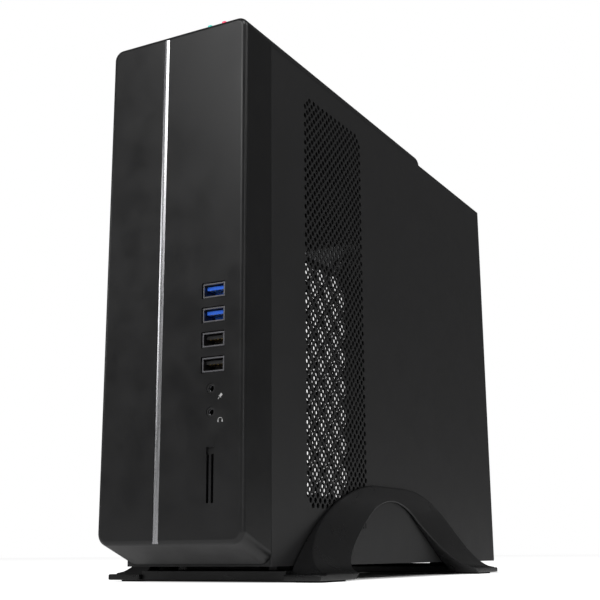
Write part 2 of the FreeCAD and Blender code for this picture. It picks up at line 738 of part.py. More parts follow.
cooler_base = board_face - 1 - chip_height
cooler_height = 27.0
cooler_half = cpu_fan_size / 2
fin_thickness, fin_pitch = 0.9, 3.6


def heatsink():
    """Finned aluminium cooler on the processor, with four legs to the board."""
    face = cooler_base - cooler_height
    base = block(cooler_base - 4, cooler_base, socket_y - 30, socket_y + 30, socket_z - 30, socket_z + 30)
    base = base.cut(block(cooler_base - 0.9, cooler_base + 1, socket_y + 17, socket_y + 40,
                          socket_z - 40, socket_z + 40))
    plate = block(cooler_base - 6, cooler_base - 4, socket_y - cooler_half, socket_y + cooler_half,
                  socket_z - cooler_half, socket_z + cooler_half)
    parts = [base, plate]
    count = int(2 * cooler_half / fin_pitch)
    start = socket_z - fin_pitch * (count - 1) / 2
    for index in range(count):
        z = start + index * fin_pitch
        parts.append(block(face, cooler_base - 5, socket_y - cooler_half, socket_y + cooler_half,
                           z - fin_thickness / 2, z + fin_thickness / 2))
    for dy in (-1, 1):
        for dz in (-1, 1):
            parts.append(rod(V(cooler_base - 5, socket_y + dy * 37.5, socket_z + dz * 37.5), X_AXIS, 2.4,
                             board_face - cooler_base + 5))
    return join(parts)


def fan_frame(size, depth):
    """Square fan frame around the Z axis, from Z = 0 to depth, with a motor mount on four struts."""
    half, bore, hub = size / 2, size / 2 - 1.8, size * 0.19
    body = rounded(block(-half, half, -half, half, 0, depth), 4.0, Z_AXIS)
    cuts = [rod(V(0, 0, -1), Z_AXIS, bore, depth + 2)]
    for x in (-1, 1):
        for y in (-1, 1):
            cuts.append(rod(V(x * (half - 5.2), y * (half - 5.2), -1), Z_AXIS, 2.1, depth + 2))
    body = body.cut(cuts)
    struts = [block(-bore - 1, bore + 1, -1.5, 1.5, 0, 1.8), block(-1.5, 1.5, -bore - 1, bore + 1, 0, 1.8)]
    mount = rod(V(0, 0, 0), Z_AXIS, hub, 2.0)
    pin = rod(V(0, 0, 1), Z_AXIS, 1.5, depth - 4)
    return join([body, mount, pin] + struts)


def fan_rotor(size, depth, blades):
    """Fan wheel that turns on the frame's pin, with pitched blades."""
    hub, tip = size * 0.19, size / 2 - 1.8 - 0.7
    low, high = 2.0 + slide_gap, depth - 0.6
    body = rod(V(0, 0, low), Z_AXIS, hub, high - low)
    top_edge = [e for e in body.Edges if abs(e.BoundBox.ZMin - high) < 1e-6]
    body = body.makeFillet(1.5, top_edge)
    ring = tube(V(0, 0, low), Z_AXIS, tip, hub - 1, high - low)
    wheel = [body]
    middle = (low + high) / 2
    for index in range(blades):
        blade = block(0, size, -0.6, 0.6, -size / 4, size / 4)
        blade.rotate(V(0, 0, 0), X_AXIS, 52)
        blade.translate(V(0, 0, middle))
        blade.rotate(V(0, 0, 0), Z_AXIS, 360.0 * index / blades)
        wheel.append(blade.common(ring))
    return join(wheel).cut(rod(V(0, 0, 0), Z_AXIS, 1.5 + shaft_gap, depth - 3 + shaft_gap + 0.3))


def cpu_fan_place(shape):
    """Stand a fan on the heatsink, blowing towards it."""
    shape.rotate(V(0, 0, 0), Y_AXIS, -90)
    shape.translate(V(cooler_base - cooler_height, socket_y, socket_z))
    return shape


memory_height = 30.0
memory_length = 133.35
memory_places = (board_front + 5.0, board_front + 14.5)
memory_low = board_bottom + 16.0


def memory_slot(y):
    """Memory socket on the board, with a groove for a module."""
    half = 3.2
    body = block(board_face - 8, board_face, y - half, y + half,
                 memory_low - 4, memory_low + memory_length + 4)
    return body.cut(block(board_face - 9, board_face - 2, y - 0.75, y + 0.75,
                          memory_low - 0.2, memory_low + memory_length + 0.2))


def memory_module(y):
    """Memory module with chips on both faces."""
    inner = board_face - 2.2
    parts = [block(inner - memory_height, inner, y - 0.6, y + 0.6, memory_low, memory_low + memory_length)]
    for index in range(8):
        z = memory_low + 8 + index * 15.2
        parts.append(block(inner - memory_height + 6, inner - memory_height + 18, y - 1.6, y + 1.6,
                           z, z + 9.5))
    return join(parts)


choke_height = 8.0            # stays below the cooler's fins
choke_radius, choke_pitch = 4.0, 14.0
socket_reach, sata_pitch = 8.0, 9.5
connector_depth = 8.0         # depth of the hollow in a rear connector
# rear connectors from the bottom: height above the opening, reach from the board, own height
rear_sizes = ((8, 34, 14), (26, 32, 17), (46, 14, 16), (66, 16, 15), (88, 30, 16), (108, 30, 16),
              (130, 34, 13))


def board_parts():
    """Chipset cooler, chokes, slot and connectors soldered on the board."""
    face = board_face
    chipset = block(face - 12, face, board_front + 34, board_front + 62, board_bottom + 8, board_bottom + 36)
    slot = block(face - 11, face, board_front + 12, board_rear - 62, board_bottom + 1, board_bottom + 6)
    supply = block(face - 9, face, board_front + 26, board_front + 31.5, board_top - 60, board_top - 8)
    pieces = [chipset, slot, supply]
    for index in range(4):
        z = board_top - 20 - index * choke_pitch
        pieces.append(rod(V(face - choke_height, board_rear - 25, z), X_AXIS, choke_radius, choke_height))
        pieces.append(block(face - 7, face, board_rear - 36.5, board_rear - 31, z - 5, z + 5))
    for index in range(4):
        z = board_bottom + 44 + index * sata_pitch
        pieces.append(block(face - socket_reach, face, board_front + 26, board_front + 38, z, z + 8))
    return group(pieces)


def rear_ports():
    """Sockets of the main board at the rear wall."""
    outer, inner = rear_outer + 0.4, board_rear - 14
    pieces, cuts = [], []
    for low, reach, tall in rear_sizes:
        z, start = shield_low + low, board_face - reach
        pieces.append(block(start, board_face - 0.1, inner, outer, z, z + tall))
        if reach > 20:
            places = [(x, x + reach / 2 - 5) for x in (start + 3, start + 2 + reach / 2)]
        else:
            places = [(start + 2, board_face - 3)]
        for x_low, x_high in places:
            cuts.append(block(x_low, x_high, outer - connector_depth, outer + 1, z + 2, z + tall - 2))
    return group([piece.cut(cuts) for piece in pieces])


def io_shield():
    """Thin plate around the rear ports."""
    inner = rear_inner - 0.5
    body = block(shield_right - shield_width - 2, shield_right + 2, inner, rear_inner,
                 shield_low - 2, shield_low + shield_height + 2)
    rim = block(shield_right - shield_width + fit_gap, shield_right - fit_gap, inner, rear_outer + 0.3,
                shield_low + fit_gap, shield_low + shield_height - fit_gap)
    body = body.fuse(rim)
    reach, start = 34.5, 7.4
    return body.cut(block(board_face - reach, board_face + 0.4, inner - 1, rear_outer + 2,
                          shield_low + start, shield_low + 144.0))


def slot_cover():
    """Blank plate over the expansion opening, screwed on at one end."""
    body = block(slot_start - 2, slot_end + 2, rear_inner - sheet, rear_inner,
                 slot_low - 2, slot_low + slot_size + 2)
    return body.fuse(block(slot_start + 2, slot_end - 2, rear_inner - sheet, rear_outer,
                           slot_low + 1, slot_low + slot_size - 1))


# --- power supply -------------------------------------------------------------------------------
psu_wall = 0.8
psu_fan_y = psu_front + 62.0
psu_half = psu_width / 2
inlet_x, inlet_z = -16.0, psu_bottom + psu_height / 2
inlet_width, inlet_height = 27.0, 19.5
rocker_x = 14.0
rocker_half_width, rocker_half_height = 6.4, 9.6
rocker_angle = 8.0


def psu_housing():
    """Steel housing of the power supply, with a fan opening below and a pierced rear face."""
    body = block(-psu_half, psu_half, psu_front, psu_rear, psu_bottom, psu_top)
    hollow = block(-psu_half + psu_wall, psu_half - psu_wall, psu_front + psu_wall, psu_rear - psu_wall,
                   psu_bottom + psu_wall, psu_top - psu_wall)
    cuts = [rod(V(0, psu_fan_y, psu_bottom - 1), Z_AXIS, psu_fan_size / 2 - 2.5, 3)]
    cuts.append(block(inlet_x - inlet_width / 2, inlet_x + inlet_width / 2, psu_rear - 2, psu_rear + 1,
                      inlet_z - inlet_height / 2, inlet_z + inlet_height / 2))
    cuts.append(block(rocker_x - 7.2, rocker_x + 7.2, psu_rear - 2, psu_rear + 1,
                      inlet_z - 10.6, inlet_z + 10.6))
    for row in range(8):
        for column in range(2):
            x, z = 27.0 + column * 5.2, psu_bottom + 14 + row * 5.2
            cuts.append(rod(V(x, psu_rear - 2, z), Y_AXIS, 1.9, 4))
    for row in range(4):
        for column in range(9):
            x, z = -24 + column * 6, psu_bottom + 20 + row * 6
            cuts.append(rod(V(x, psu_front - 1, z), Y_AXIS, 2.0, 3))
    return body.cut(hollow).cut(cuts)


def psu_circuit():
    """Circuit board with coils and capacitors inside the housing."""
    low = psu_top - psu_wall - 6
    parts = [block(-38, 38, psu_front + 8, psu_rear - 30, low, low + 1.6)]
    for index in range(4):
        parts.append(rod(V(-26 + index * 17, psu_front + 20, low - 24), Z_AXIS, 6, 25))
    parts.append(block(-30, 30, psu_rear - 62, psu_rear - 58, low - 34, low + 0.5))
    parts.append(block(-12, 14, psu_front + 115, psu_front + 137, low - 26, low + 0.5))
    return join(parts)


def psu_guard():
    """Finger guard of flat rings over the power supply's fan."""
    low, thick = psu_bottom - 1.6, 1.6
    parts = []
    for ring in range(5):
        radius = 8.0 + ring * 8.2
        parts.append(tube(V(0, psu_fan_y, low), Z_AXIS, radius + 0.8, radius - 0.8, thick))
    arm = psu_fan_size / 2 + 3.0
    for angle in (45, 135):
        bar = block(-arm, arm, -0.9, 0.9, 0, thick)
        bar.rotate(V(0, 0, 0), Z_AXIS, angle)
        bar.translate(V(0, psu_fan_y, low))
        parts.append(bar)
    return join(parts)


def psu_fan_place(shape):
    """Put a fan inside the housing, behind the guard."""
    shape.rotate(V(0, 0, 0), X_AXIS, 180)
    shape.translate(V(0, psu_fan_y, psu_bottom + psu_wall + fan_depth))
    return shape


def power_inlet():
    """Three-pin mains inlet at the rear."""
    half_x, half_z = inlet_width / 2 - fit_gap, inlet_height / 2 - fit_gap
    outer = rear_outer + 0.6
    body = block(inlet_x - half_x, inlet_x + half_x, psu_rear - 18, outer,
                 inlet_z - half_z, inlet_z + half_z)
    rim = block(inlet_x - half_x - 1.5, inlet_x + half_x + 1.5, psu_rear, outer,
                inlet_z - half_z - 1.5, inlet_z + half_z + 1.5)
    socket = block(inlet_x - 10, inlet_x + 10, psu_rear - 15, outer + 1, inlet_z - 6, inlet_z + 6)
    pins = [block(inlet_x + dx - 2, inlet_x + dx + 2, psu_rear - 16, outer - 2,
                  inlet_z + dz - 1, inlet_z + dz + 1) for dx, dz in ((-6, -2), (0, 2), (6, -2))]
    return join([join([body, rim]).cut(socket)] + pins)


def rocker_frame():
    """Collar around the rear switch."""
    outer = rear_outer + 0.6
    body = block(rocker_x - 7.0, rocker_x + 7.0, psu_rear - 10, outer, inlet_z - 10.4, inlet_z + 10.4)
    rim = block(rocker_x - 8.2, rocker_x + 8.2, psu_rear, outer, inlet_z - 11.6, inlet_z + 11.6)
    hollow = block(rocker_x - rocker_half_width - slide_gap, rocker_x + rocker_half_width + slide_gap,
                   psu_rear - 8.5, outer + 1, inlet_z - rocker_half_height - 0.45,
                   inlet_z + rocker_half_height + 0.45)
    axle = rod(V(rocker_x - 6.9, psu_rear - 3.2, inlet_z), X_AXIS, 1.0, 13.8)
    return join([join([body, rim]).cut(hollow), axle])


def rocker():
    """Rear switch lever, resting tipped to its on side."""
    y_pivot = psu_rear - 3.2
    outer = rear_outer + 1.3
    half = rocker_half_height - 0.3
    face = outline([V(0, y_pivot - 2.2, inlet_z - 4), V(0, outer - 1.6, inlet_z - half),
                    V(0, outer, inlet_z - half + 0.6), V(0, outer - 1.5, inlet_z),
                    V(0, outer, inlet_z + half - 0.6), V(0, outer - 1.6, inlet_z + half),
                    V(0, y_pivot - 2.2, inlet_z + 4)])
    face.translate(V(rocker_x - rocker_half_width, 0, 0))
    body = face.extrude(V(2 * rocker_half_width, 0, 0))
    body = body.cut(rod(V(rocker_x - 10, y_pivot, inlet_z), X_AXIS, 1.0 + shaft_gap, 20))
    body.rotate(V(rocker_x, y_pivot, inlet_z), X_AXIS, -rocker_angle)
    return body


# --- drives -------------------------------------------------------------------------------------
bracket_x = -18.7             # face of the bracket that the drives are screwed to
disc_front = 38.0
disc_low = 16.0
ssd_low = disc_low + disc_width + 12.0
bracket_length, bracket_lip = 116.0, 14.0


def drive_bracket():
    """Upright steel bracket that carries both drives."""
    start, end, top = disc_front + 2, disc_front + 2 + bracket_length, ssd_low + ssd_width + 6
    plate = block(bracket_x, bracket_x + sheet, start, end, sheet, top)
    foot = block(bracket_x + sheet, bracket_x + bracket_lip, start, end, sheet, 2 * sheet)
    front = block(bracket_x + sheet, bracket_x + bracket_lip, start, start + sheet, sheet, top)
    middle, half = (start + end) / 2, window_size / 2
    windows = [block(bracket_x - 1, bracket_x + 2, middle - half, middle + half, z - half, z + half)
               for z in (disc_low + disc_width / 2, ssd_low + ssd_width / 2)]
    holes = [rod(V(bracket_x - 1, y, z), X_AXIS, 1.7, 3) for y, z in drive_screw_places()]
    return join([plate, foot, front]).cut(windows + holes)


def drive_screw_places():
    """Centres of the drive screws in the bracket: (y, z)."""
    disc = [(disc_front + dy, disc_low + 3.18 + dz) for dy in (41.28, 85.73) for dz in (0, 95.25)]
    solid = [(disc_front + 12 + dy, ssd_low + 4 + dz) for dy in (0, 76.6) for dz in (0, 61.72)]
    return disc + solid


def drive_screws():
    """Screws through the bracket into the drives."""
    screws = []
    for y, z in drive_screw_places():
        screws.append(join([rod(V(bracket_x + sheet, y, z), X_AXIS, 2.8, 1.6),
                            rod(V(bracket_x - 2.5, y, z), X_AXIS, 1.6, 4.2)]))
    return screws


def drilled(body, places, depth):
    """Screw holes in a drive, from the bracket's side."""
    return body.cut([rod(V(bracket_x - depth, y, z), X_AXIS, 1.6, depth + 1) for y, z in places])


def hard_drive():
    """Disc drive with a stepped lid and a connector notch."""
    low, high = disc_low, disc_low + disc_width
    body = block(bracket_x - disc_thickness, bracket_x, disc_front, disc_front + disc_length, low, high)
    body = rounded(body, 3.0, X_AXIS)
    lid = block(bracket_x - disc_thickness - 1, bracket_x - disc_thickness + 1, disc_front - 1,
                disc_front + disc_length + 1, low - 1, high + 1)
    raised = block(bracket_x - disc_thickness - 1, bracket_x - disc_thickness + 1, disc_front + 5,
                   disc_front + disc_length - 22, low + 4, high - 4)
    notch = block(bracket_x - 9, bracket_x - 3, disc_front + disc_length - 5, disc_front + disc_length + 1,
                  low + 30, low + 72)
    return drilled(body.cut(lid.cut(raised)).cut(notch), drive_screw_places()[:4], 3.0)


def solid_state_drive():
    """Slim drive with rounded corners."""
    body = block(bracket_x - ssd_thickness, bracket_x, disc_front + 4, disc_front + 4 + ssd_length,
                 ssd_low, ssd_low + ssd_width)
    body = rounded(body, 2.5, X_AXIS)
    return drilled(body, drive_screw_places()[4:], 3.0)


def bezel_screws():
    """Screws from inside the chassis into the bezel's bosses."""
    screws = []
    for x in (-boss_x, boss_x):
        for z in boss_heights:
            screws.append(join([rod(V(x, front_plate + sheet, z), Y_AXIS, 2.8, 1.6),
                                rod(V(x, front_plate - 8, z), Y_AXIS, 1.35, 9.4)]))
    return screws


def write_all():
    """Build and save every piece."""
    save("front_bezel", front_bezel())
    save("silver_strip", silver_strip())
    save("top_cap", top_cap())
    save("power_button", power_button())
    save("power_switch", power_switch())
    save("power_light", led_lens(led_places[0]))
    save("drive_light", led_lens(led_places[1]))
    for name, z in zip(("usb3_upper", "usb3_lower", "usb2_upper", "usb2_lower"), port_places()):
        save(name + "_shell", usb_shell(z))
    save("usb3_tongues", group([usb_tongue(z) for z in port_places()[:2]]))
    save("usb2_tongues", group([usb_tongue(z) for z in port_places()[2:]]))
    for name, z in zip(("microphone_jack", "headphone_jack"), jack_places()):
        save(name, audio_jack(z))
    save("card_reader", card_reader())
    save("front_io_board", front_io_board())
    save("chassis_frame", chassis_frame())
    for word, side in (("left", -1), ("right", 1)):
        save(word + "_cover", side_cover(side))
        save(word + "_vent", vent_panel(side))
        save("stand_arch_" + word, stand_arch(side))
        for height, z in zip(("lower", "upper"), screw_heights):
            save("thumbscrew_" + word + "_" + height, thumbscrew(side, z))
    save("stand_bar_front", stand_bar(0))
    save("stand_bar_rear", stand_bar(1))
    save("machine_screws", group(stand_screws() + bezel_screws() + board_screws() + drive_screws()))
    save("stand_pads", stand_pads())
    save("board_tray", board_tray())
    save("standoffs", standoffs())
    save("main_board", main_board())
    save("cpu_socket", cpu_socket())
    save("processor", processor())
    save("heatsink", heatsink())
    save("cpu_fan_frame", cpu_fan_place(fan_frame(cpu_fan_size, fan_depth)))
    save("cpu_fan_rotor", cpu_fan_place(fan_rotor(cpu_fan_size, fan_depth, 7)))
    save("memory_slots", group([memory_slot(y) for y in memory_places]))
    for index, y in enumerate(memory_places):
        save("memory_module_%d" % (index + 1), memory_module(y))
    save("board_parts", board_parts())
    save("rear_ports", rear_ports())
    save("io_shield", io_shield())
    save("slot_cover", slot_cover())
    save("psu_housing", psu_housing())
    save("psu_circuit", psu_circuit())
    save("psu_guard", psu_guard())
    save("psu_fan_frame", psu_fan_place(fan_frame(psu_fan_size, fan_depth)))
    save("psu_fan_rotor", psu_fan_place(fan_rotor(psu_fan_size, fan_depth, 9)))
    save("power_inlet", power_inlet())
    save("rocker_frame", rocker_frame())
    save("rocker", rocker())
    save("drive_bracket", drive_bracket())
    save("hard_drive", hard_drive())
    save("solid_state_drive", solid_state_drive())


os.makedirs("parts", exist_ok=True)
write_all()
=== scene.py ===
"""Slim desktop computer tower: finishes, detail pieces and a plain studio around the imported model."""

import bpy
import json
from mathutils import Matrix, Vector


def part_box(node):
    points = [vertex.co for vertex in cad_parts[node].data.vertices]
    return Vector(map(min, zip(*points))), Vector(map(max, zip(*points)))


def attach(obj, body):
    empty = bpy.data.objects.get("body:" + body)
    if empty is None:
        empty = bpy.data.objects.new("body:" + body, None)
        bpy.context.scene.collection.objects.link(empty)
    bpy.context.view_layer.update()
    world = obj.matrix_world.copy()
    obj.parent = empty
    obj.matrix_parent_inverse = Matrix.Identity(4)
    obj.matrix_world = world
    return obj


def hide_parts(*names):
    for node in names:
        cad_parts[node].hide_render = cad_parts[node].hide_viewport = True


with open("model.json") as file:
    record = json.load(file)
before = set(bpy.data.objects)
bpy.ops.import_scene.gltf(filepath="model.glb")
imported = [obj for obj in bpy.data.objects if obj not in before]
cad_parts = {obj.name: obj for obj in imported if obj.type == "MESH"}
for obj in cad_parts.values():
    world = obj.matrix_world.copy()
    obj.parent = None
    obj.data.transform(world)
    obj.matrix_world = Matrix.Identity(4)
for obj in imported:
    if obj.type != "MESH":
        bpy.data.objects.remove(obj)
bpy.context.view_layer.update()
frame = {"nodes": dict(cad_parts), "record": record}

import enum
import json
import logging
import math
from dataclasses import dataclass, field
from typing import Sequence

import bmesh
import bpy
from mathutils import Matrix, Vector

MM = 0.001
LOG = logging.getLogger("tower")
Colour = tuple[float, float, float]


class Axis(enum.Enum):
    """A row axis, by its index in a vector."""

    X = 0
    Y = 1
    Z = 2


# --- finishes ------------------------------------------------------------------------------------
class Graph:
    """Adds and links the shader nodes of one material."""

    def __init__(self, name: str) -> None:
        """Start an empty material with a Principled shader.

        Args:
            name: the material's name.
        """
        self.material = bpy.data.materials.new(name)
        self.material.use_nodes = True
        self.tree = self.material.node_tree
        self.tree.nodes.clear()
        self.shader = self.tree.nodes.new("ShaderNodeBsdfPrincipled")
        output = self.tree.nodes.new("ShaderNodeOutputMaterial")
        self.link(self.shader.outputs["BSDF"], output.inputs["Surface"])
        self.place = self.tree.nodes.new("ShaderNodeTexCoord").outputs["Object"]

    def link(self, out: bpy.types.NodeSocket, into: bpy.types.NodeSocket) -> None:
        """Link one socket to another.

        Args:
            out: the socket that gives the value.
            into: the socket that takes it.
        """
        self.tree.links.new(out, into)

    def stretch(self, scale: Sequence[float]) -> bpy.types.NodeSocket:
        """Object coordinates scaled along each axis.

        Args:
            scale: the factor along X, Y and Z.

        Returns:
            The stretched coordinates.
        """
        mapping = self.tree.nodes.new("ShaderNodeMapping")
        mapping.inputs["Scale"].default_value = scale
        self.link(self.place, mapping.inputs["Vector"])
        return mapping.outputs["Vector"]

    def noise(self, scale: float, detail: float = 2.0,
              place: bpy.types.NodeSocket | None = None) -> bpy.types.NodeSocket:
        """A noise pattern.

        Args:
            scale: features per metre.
            detail: octaves of finer noise.
            place: coordinates, or None for plain object coordinates.

        Returns:
            The noise factor.
        """
        node = self.tree.nodes.new("ShaderNodeTexNoise")
        node.inputs["Scale"].default_value = scale
        node.inputs["Detail"].default_value = detail
        self.link(place or self.place, node.inputs["Vector"])
        return node.outputs["Fac"]

    def cells(self, scale: float, feature: str = "F1",
              output: str = "Distance") -> bpy.types.NodeSocket:
        """A cell pattern.

        Args:
            scale: cells per metre.
            feature: which distance the cells give.
            output: which output to use.

        Returns:
            The chosen output.
        """
        node = self.tree.nodes.new("ShaderNodeTexVoronoi")
        node.feature = feature
        node.inputs["Scale"].default_value = scale
        self.link(self.place, node.inputs["Vector"])
        return node.outputs[output]

    def ramp(self, factor: bpy.types.NodeSocket, low: float, high: float,
             start: float = 0.3, end: float = 0.7) -> bpy.types.NodeSocket:
        """Map a factor to a range.

        Args:
            factor: the pattern.
            low: result at start.
            high: result at end.
            start: factor that gives low.
            end: factor that gives high.

        Returns:
            The mapped value.
        """
        node = self.tree.nodes.new("ShaderNodeMapRange")
        for name, value in (("From Min", start), ("From Max", end), ("To Min", low), ("To Max", high)):
            node.inputs[name].default_value = value
        self.link(factor, node.inputs["Value"])
        return node.outputs["Result"]

    def math(self, operation: str, first: bpy.types.NodeSocket,
             second: bpy.types.NodeSocket | float = 0.0) -> bpy.types.NodeSocket:
        """Combine two values.

        Args:
            operation: the operation's name.
            first: a pattern.
            second: a pattern or a number.

        Returns:
            The result.
        """
        node = self.tree.nodes.new("ShaderNodeMath")
        node.operation = operation
        self.link(first, node.inputs[0])
        if isinstance(second, bpy.types.NodeSocket):
            self.link(second, node.inputs[1])
        else:
            node.inputs[1].default_value = second
        return node.outputs["Value"]

    def mix(self, factor: bpy.types.NodeSocket, first: Colour, second: Colour) -> bpy.types.NodeSocket:
        """Blend two colours by a pattern.

        Args:
            factor: 0 gives first and 1 gives second.
            first: linear colour.
            second: linear colour.

        Returns:
            The blended colour.
        """
        node = self.tree.nodes.new("ShaderNodeMix")
        node.data_type = "RGBA"
        node.inputs[6].default_value = (*first, 1.0)
        node.inputs[7].default_value = (*second, 1.0)
        self.link(factor, node.inputs[0])
        return node.outputs[2]

    def bump(self, height: bpy.types.NodeSocket, depth: float, strength: float = 1.0,
             below: bpy.types.NodeSocket | None = None) -> bpy.types.NodeSocket:
        """Raise the surface by a pattern.

        Args:
            height: the pattern.
            depth: height in metres of a factor of 1.
            strength: how much of it shows.
            below: another bump's normal to stand on.

        Returns:
            The normal.
        """
        node = self.tree.nodes.new("ShaderNodeBump")
        node.inputs["Distance"].default_value = depth
        node.inputs["Strength"].default_value = strength
        self.link(height, node.inputs["Height"])
        if below is not None:
            self.link(below, node.inputs["Normal"])
        return node.outputs["Normal"]

    def dress(self, colour: bpy.types.NodeSocket, roughness: bpy.types.NodeSocket,
              normal: bpy.types.NodeSocket, **fixed: float) -> bpy.types.Material:
        """Finish the shader.

        Args:
            colour: base colour.
            roughness: roughness pattern.
            normal: surface normal.
            fixed: values set on the shader's own sockets; an underscore stands for a space.

        Returns:
            The material.
        """
        self.link(colour, self.shader.inputs["Base Color"])
        self.link(roughness, self.shader.inputs["Roughness"])
        self.link(normal, self.shader.inputs["Normal"])
        for name, value in fixed.items():
            self.shader.inputs[name.replace("_", " ")].default_value = value
        return self.material


def scaled(colour: Colour, factor: float) -> Colour:
    """A colour made lighter or darker.

    Args:
        colour: linear colour.
        factor: what each channel is multiplied by.

    Returns:
        The new colour, no brighter than white.
    """
    return tuple(min(channel * factor, 1.0) for channel in colour)


@dataclass(frozen=True)
class MouldedPlastic:
    """Injection-moulded plastic with a fine spark-eroded grain."""

    name: str
    colour: Colour
    roughness: float = 0.42
    grain: float = 0.35 * MM
    depth: float = 0.012 * MM
    sheen: float = 0.5

    def make(self) -> bpy.types.Material:
        """Build the material.

        Returns:
            The material.
        """
        graph = Graph(self.name)
        broad = graph.noise(9.0, 3.0)
        colour = graph.mix(graph.ramp(broad, 0.0, 1.0), scaled(self.colour, 0.86), scaled(self.colour, 1.14))
        rubbed = graph.noise(60.0, 4.0)
        rough = graph.ramp(rubbed, self.roughness - 0.045, self.roughness + 0.05)
        normal = graph.bump(graph.noise(1.0 / self.grain, 2.0), self.depth)
        return graph.dress(colour, rough, normal, Specular_IOR_Level=self.sheen)


@dataclass(frozen=True)
class PowderCoat:
    """Fine powder coat on steel: a shallow orange peel with tiny paler specks."""

    name: str
    colour: Colour
    roughness: float = 0.5
    pebble: float = 0.7 * MM
    depth: float = 0.02 * MM
    sheen: float = 0.5

    def make(self) -> bpy.types.Material:
        """Build the material.

        Returns:
            The material.
        """
        graph = Graph(self.name)
        fleck = graph.ramp(graph.noise(2600.0, 1.0), 0.0, 1.0, 0.55, 0.8)
        colour = graph.mix(fleck, scaled(self.colour, 0.92), scaled(self.colour, 1.5))
        rough = graph.ramp(graph.noise(40.0, 5.0), self.roughness - 0.025, self.roughness + 0.03)
        peel = graph.bump(graph.cells(1.0 / self.pebble, "SMOOTH_F1"), self.depth)
        normal = graph.bump(graph.noise(30.0, 1.0), 0.05 * MM, 0.5, peel)
        return graph.dress(colour, rough, normal, Specular_IOR_Level=self.sheen)


@dataclass(frozen=True)
class BrushedMetal:
    """Bright metal with brush lines along one axis."""

    name: str
    colour: Colour
    roughness: float = 0.24
    along: Axis = Axis.Z
    lines: float = 5000.0

    def make(self) -> bpy.types.Material:
        """Build the material.

        Returns:
            The material.
        """
        graph = Graph(self.name)
        scale = [1.0, 1.0, 1.0]
        scale[self.along.value] = 0.012
        drawn = graph.noise(self.lines, 3.0, graph.stretch(scale))
        colour = graph.mix(drawn, scaled(self.colour, 0.86), scaled(self.colour, 1.08))
        rough = graph.ramp(drawn, self.roughness - 0.06, self.roughness + 0.08)
        normal = graph.bump(drawn, 0.004 * MM)
        return graph.dress(colour, rough, normal, Metallic=1.0)


@dataclass(frozen=True)
class PlatedSteel:
    """Zinc-plated or galvanised sheet with a faint crystal spangle."""

    name: str
    colour: Colour
    roughness: float = 0.34
    spangle: float = 6.0 * MM

    def make(self) -> bpy.types.Material:
        """Build the material.

        Returns:
            The material.
        """
        graph = Graph(self.name)
        crystal = graph.cells(1.0 / self.spangle, "F1", "Color")
        split = graph.tree.nodes.new("ShaderNodeSeparateColor")
        graph.link(crystal, split.inputs["Color"])
        tone = split.outputs["Red"]
        colour = graph.mix(tone, scaled(self.colour, 0.84), scaled(self.colour, 1.1))
        rough = graph.ramp(tone, self.roughness - 0.07, self.roughness + 0.08, 0.0, 1.0)
        normal = graph.bump(graph.noise(900.0, 3.0), 0.006 * MM)
        return graph.dress(colour, rough, normal, Metallic=1.0)


@dataclass(frozen=True)
class SoftRubber:
    """Matt rubber with a pored skin."""

    name: str
    colour: Colour
    roughness: float = 0.85

    def make(self) -> bpy.types.Material:
        """Build the material.

        Returns:
            The material.
        """
        graph = Graph(self.name)
        pores = graph.cells(1800.0, "F1")
        colour = graph.mix(graph.noise(220.0, 4.0), scaled(self.colour, 0.8), scaled(self.colour, 1.35))
        rough = graph.ramp(pores, self.roughness - 0.08, self.roughness + 0.05, 0.0, 0.6)
        return graph.dress(colour, rough, graph.bump(pores, 0.03 * MM), Specular_IOR_Level=0.3)


@dataclass(frozen=True)
class TintedLens:
    """Tinted clear plastic that carries a light."""

    name: str
    colour: Colour
    glow: float = 0.6

    def make(self) -> bpy.types.Material:
        """Build the material.

        Returns:
            The material.
        """
        graph = Graph(self.name)
        cloud = graph.noise(700.0, 3.0)
        colour = graph.mix(cloud, scaled(self.colour, 0.85), scaled(self.colour, 1.15))
        rough = graph.ramp(cloud, 0.12, 0.2)
        normal = graph.bump(cloud, 0.004 * MM)
        graph.shader.inputs["Emission Color"].default_value = (*self.colour, 1.0)
        return graph.dress(colour, rough, normal, Coat_Weight=0.6, Emission_Strength=self.glow)


@dataclass(frozen=True)
class CircuitBoard:
    """Solder mask over copper tracks, with paler pads."""

    name: str
    mask: Colour
    track: Colour
    pad: Colour = (0.45, 0.4, 0.25)

    def make(self) -> bpy.types.Material:
        """Build the material.

        Returns:
            The material.
        """
        graph = Graph(self.name)
        tracks = graph.tree.nodes.new("ShaderNodeTexBrick")
        tracks.inputs["Scale"].default_value = 260.0
        tracks.inputs["Mortar Size"].default_value = 0.06
        graph.link(graph.stretch((1.0, 1.0, 1.35)), tracks.inputs["Vector"])
        lines = graph.ramp(tracks.outputs["Fac"], 0.0, 1.0, 0.0, 1.0)
        base = graph.mix(lines, self.mask, self.track)
        dots = graph.ramp(graph.cells(420.0, "F1"), 1.0, 0.0, 0.16, 0.2)
        blend = graph.tree.nodes.new("ShaderNodeMix")
        blend.data_type = "RGBA"
        blend.inputs[7].default_value = (*self.pad, 1.0)
        graph.link(dots, blend.inputs[0])
        graph.link(base, blend.inputs[6])
        rough = graph.ramp(graph.noise(90.0, 3.0), 0.28, 0.42)
        normal = graph.bump(lines, 0.03 * MM)
        return graph.dress(blend.outputs[2], rough, normal, Specular_IOR_Level=0.55)


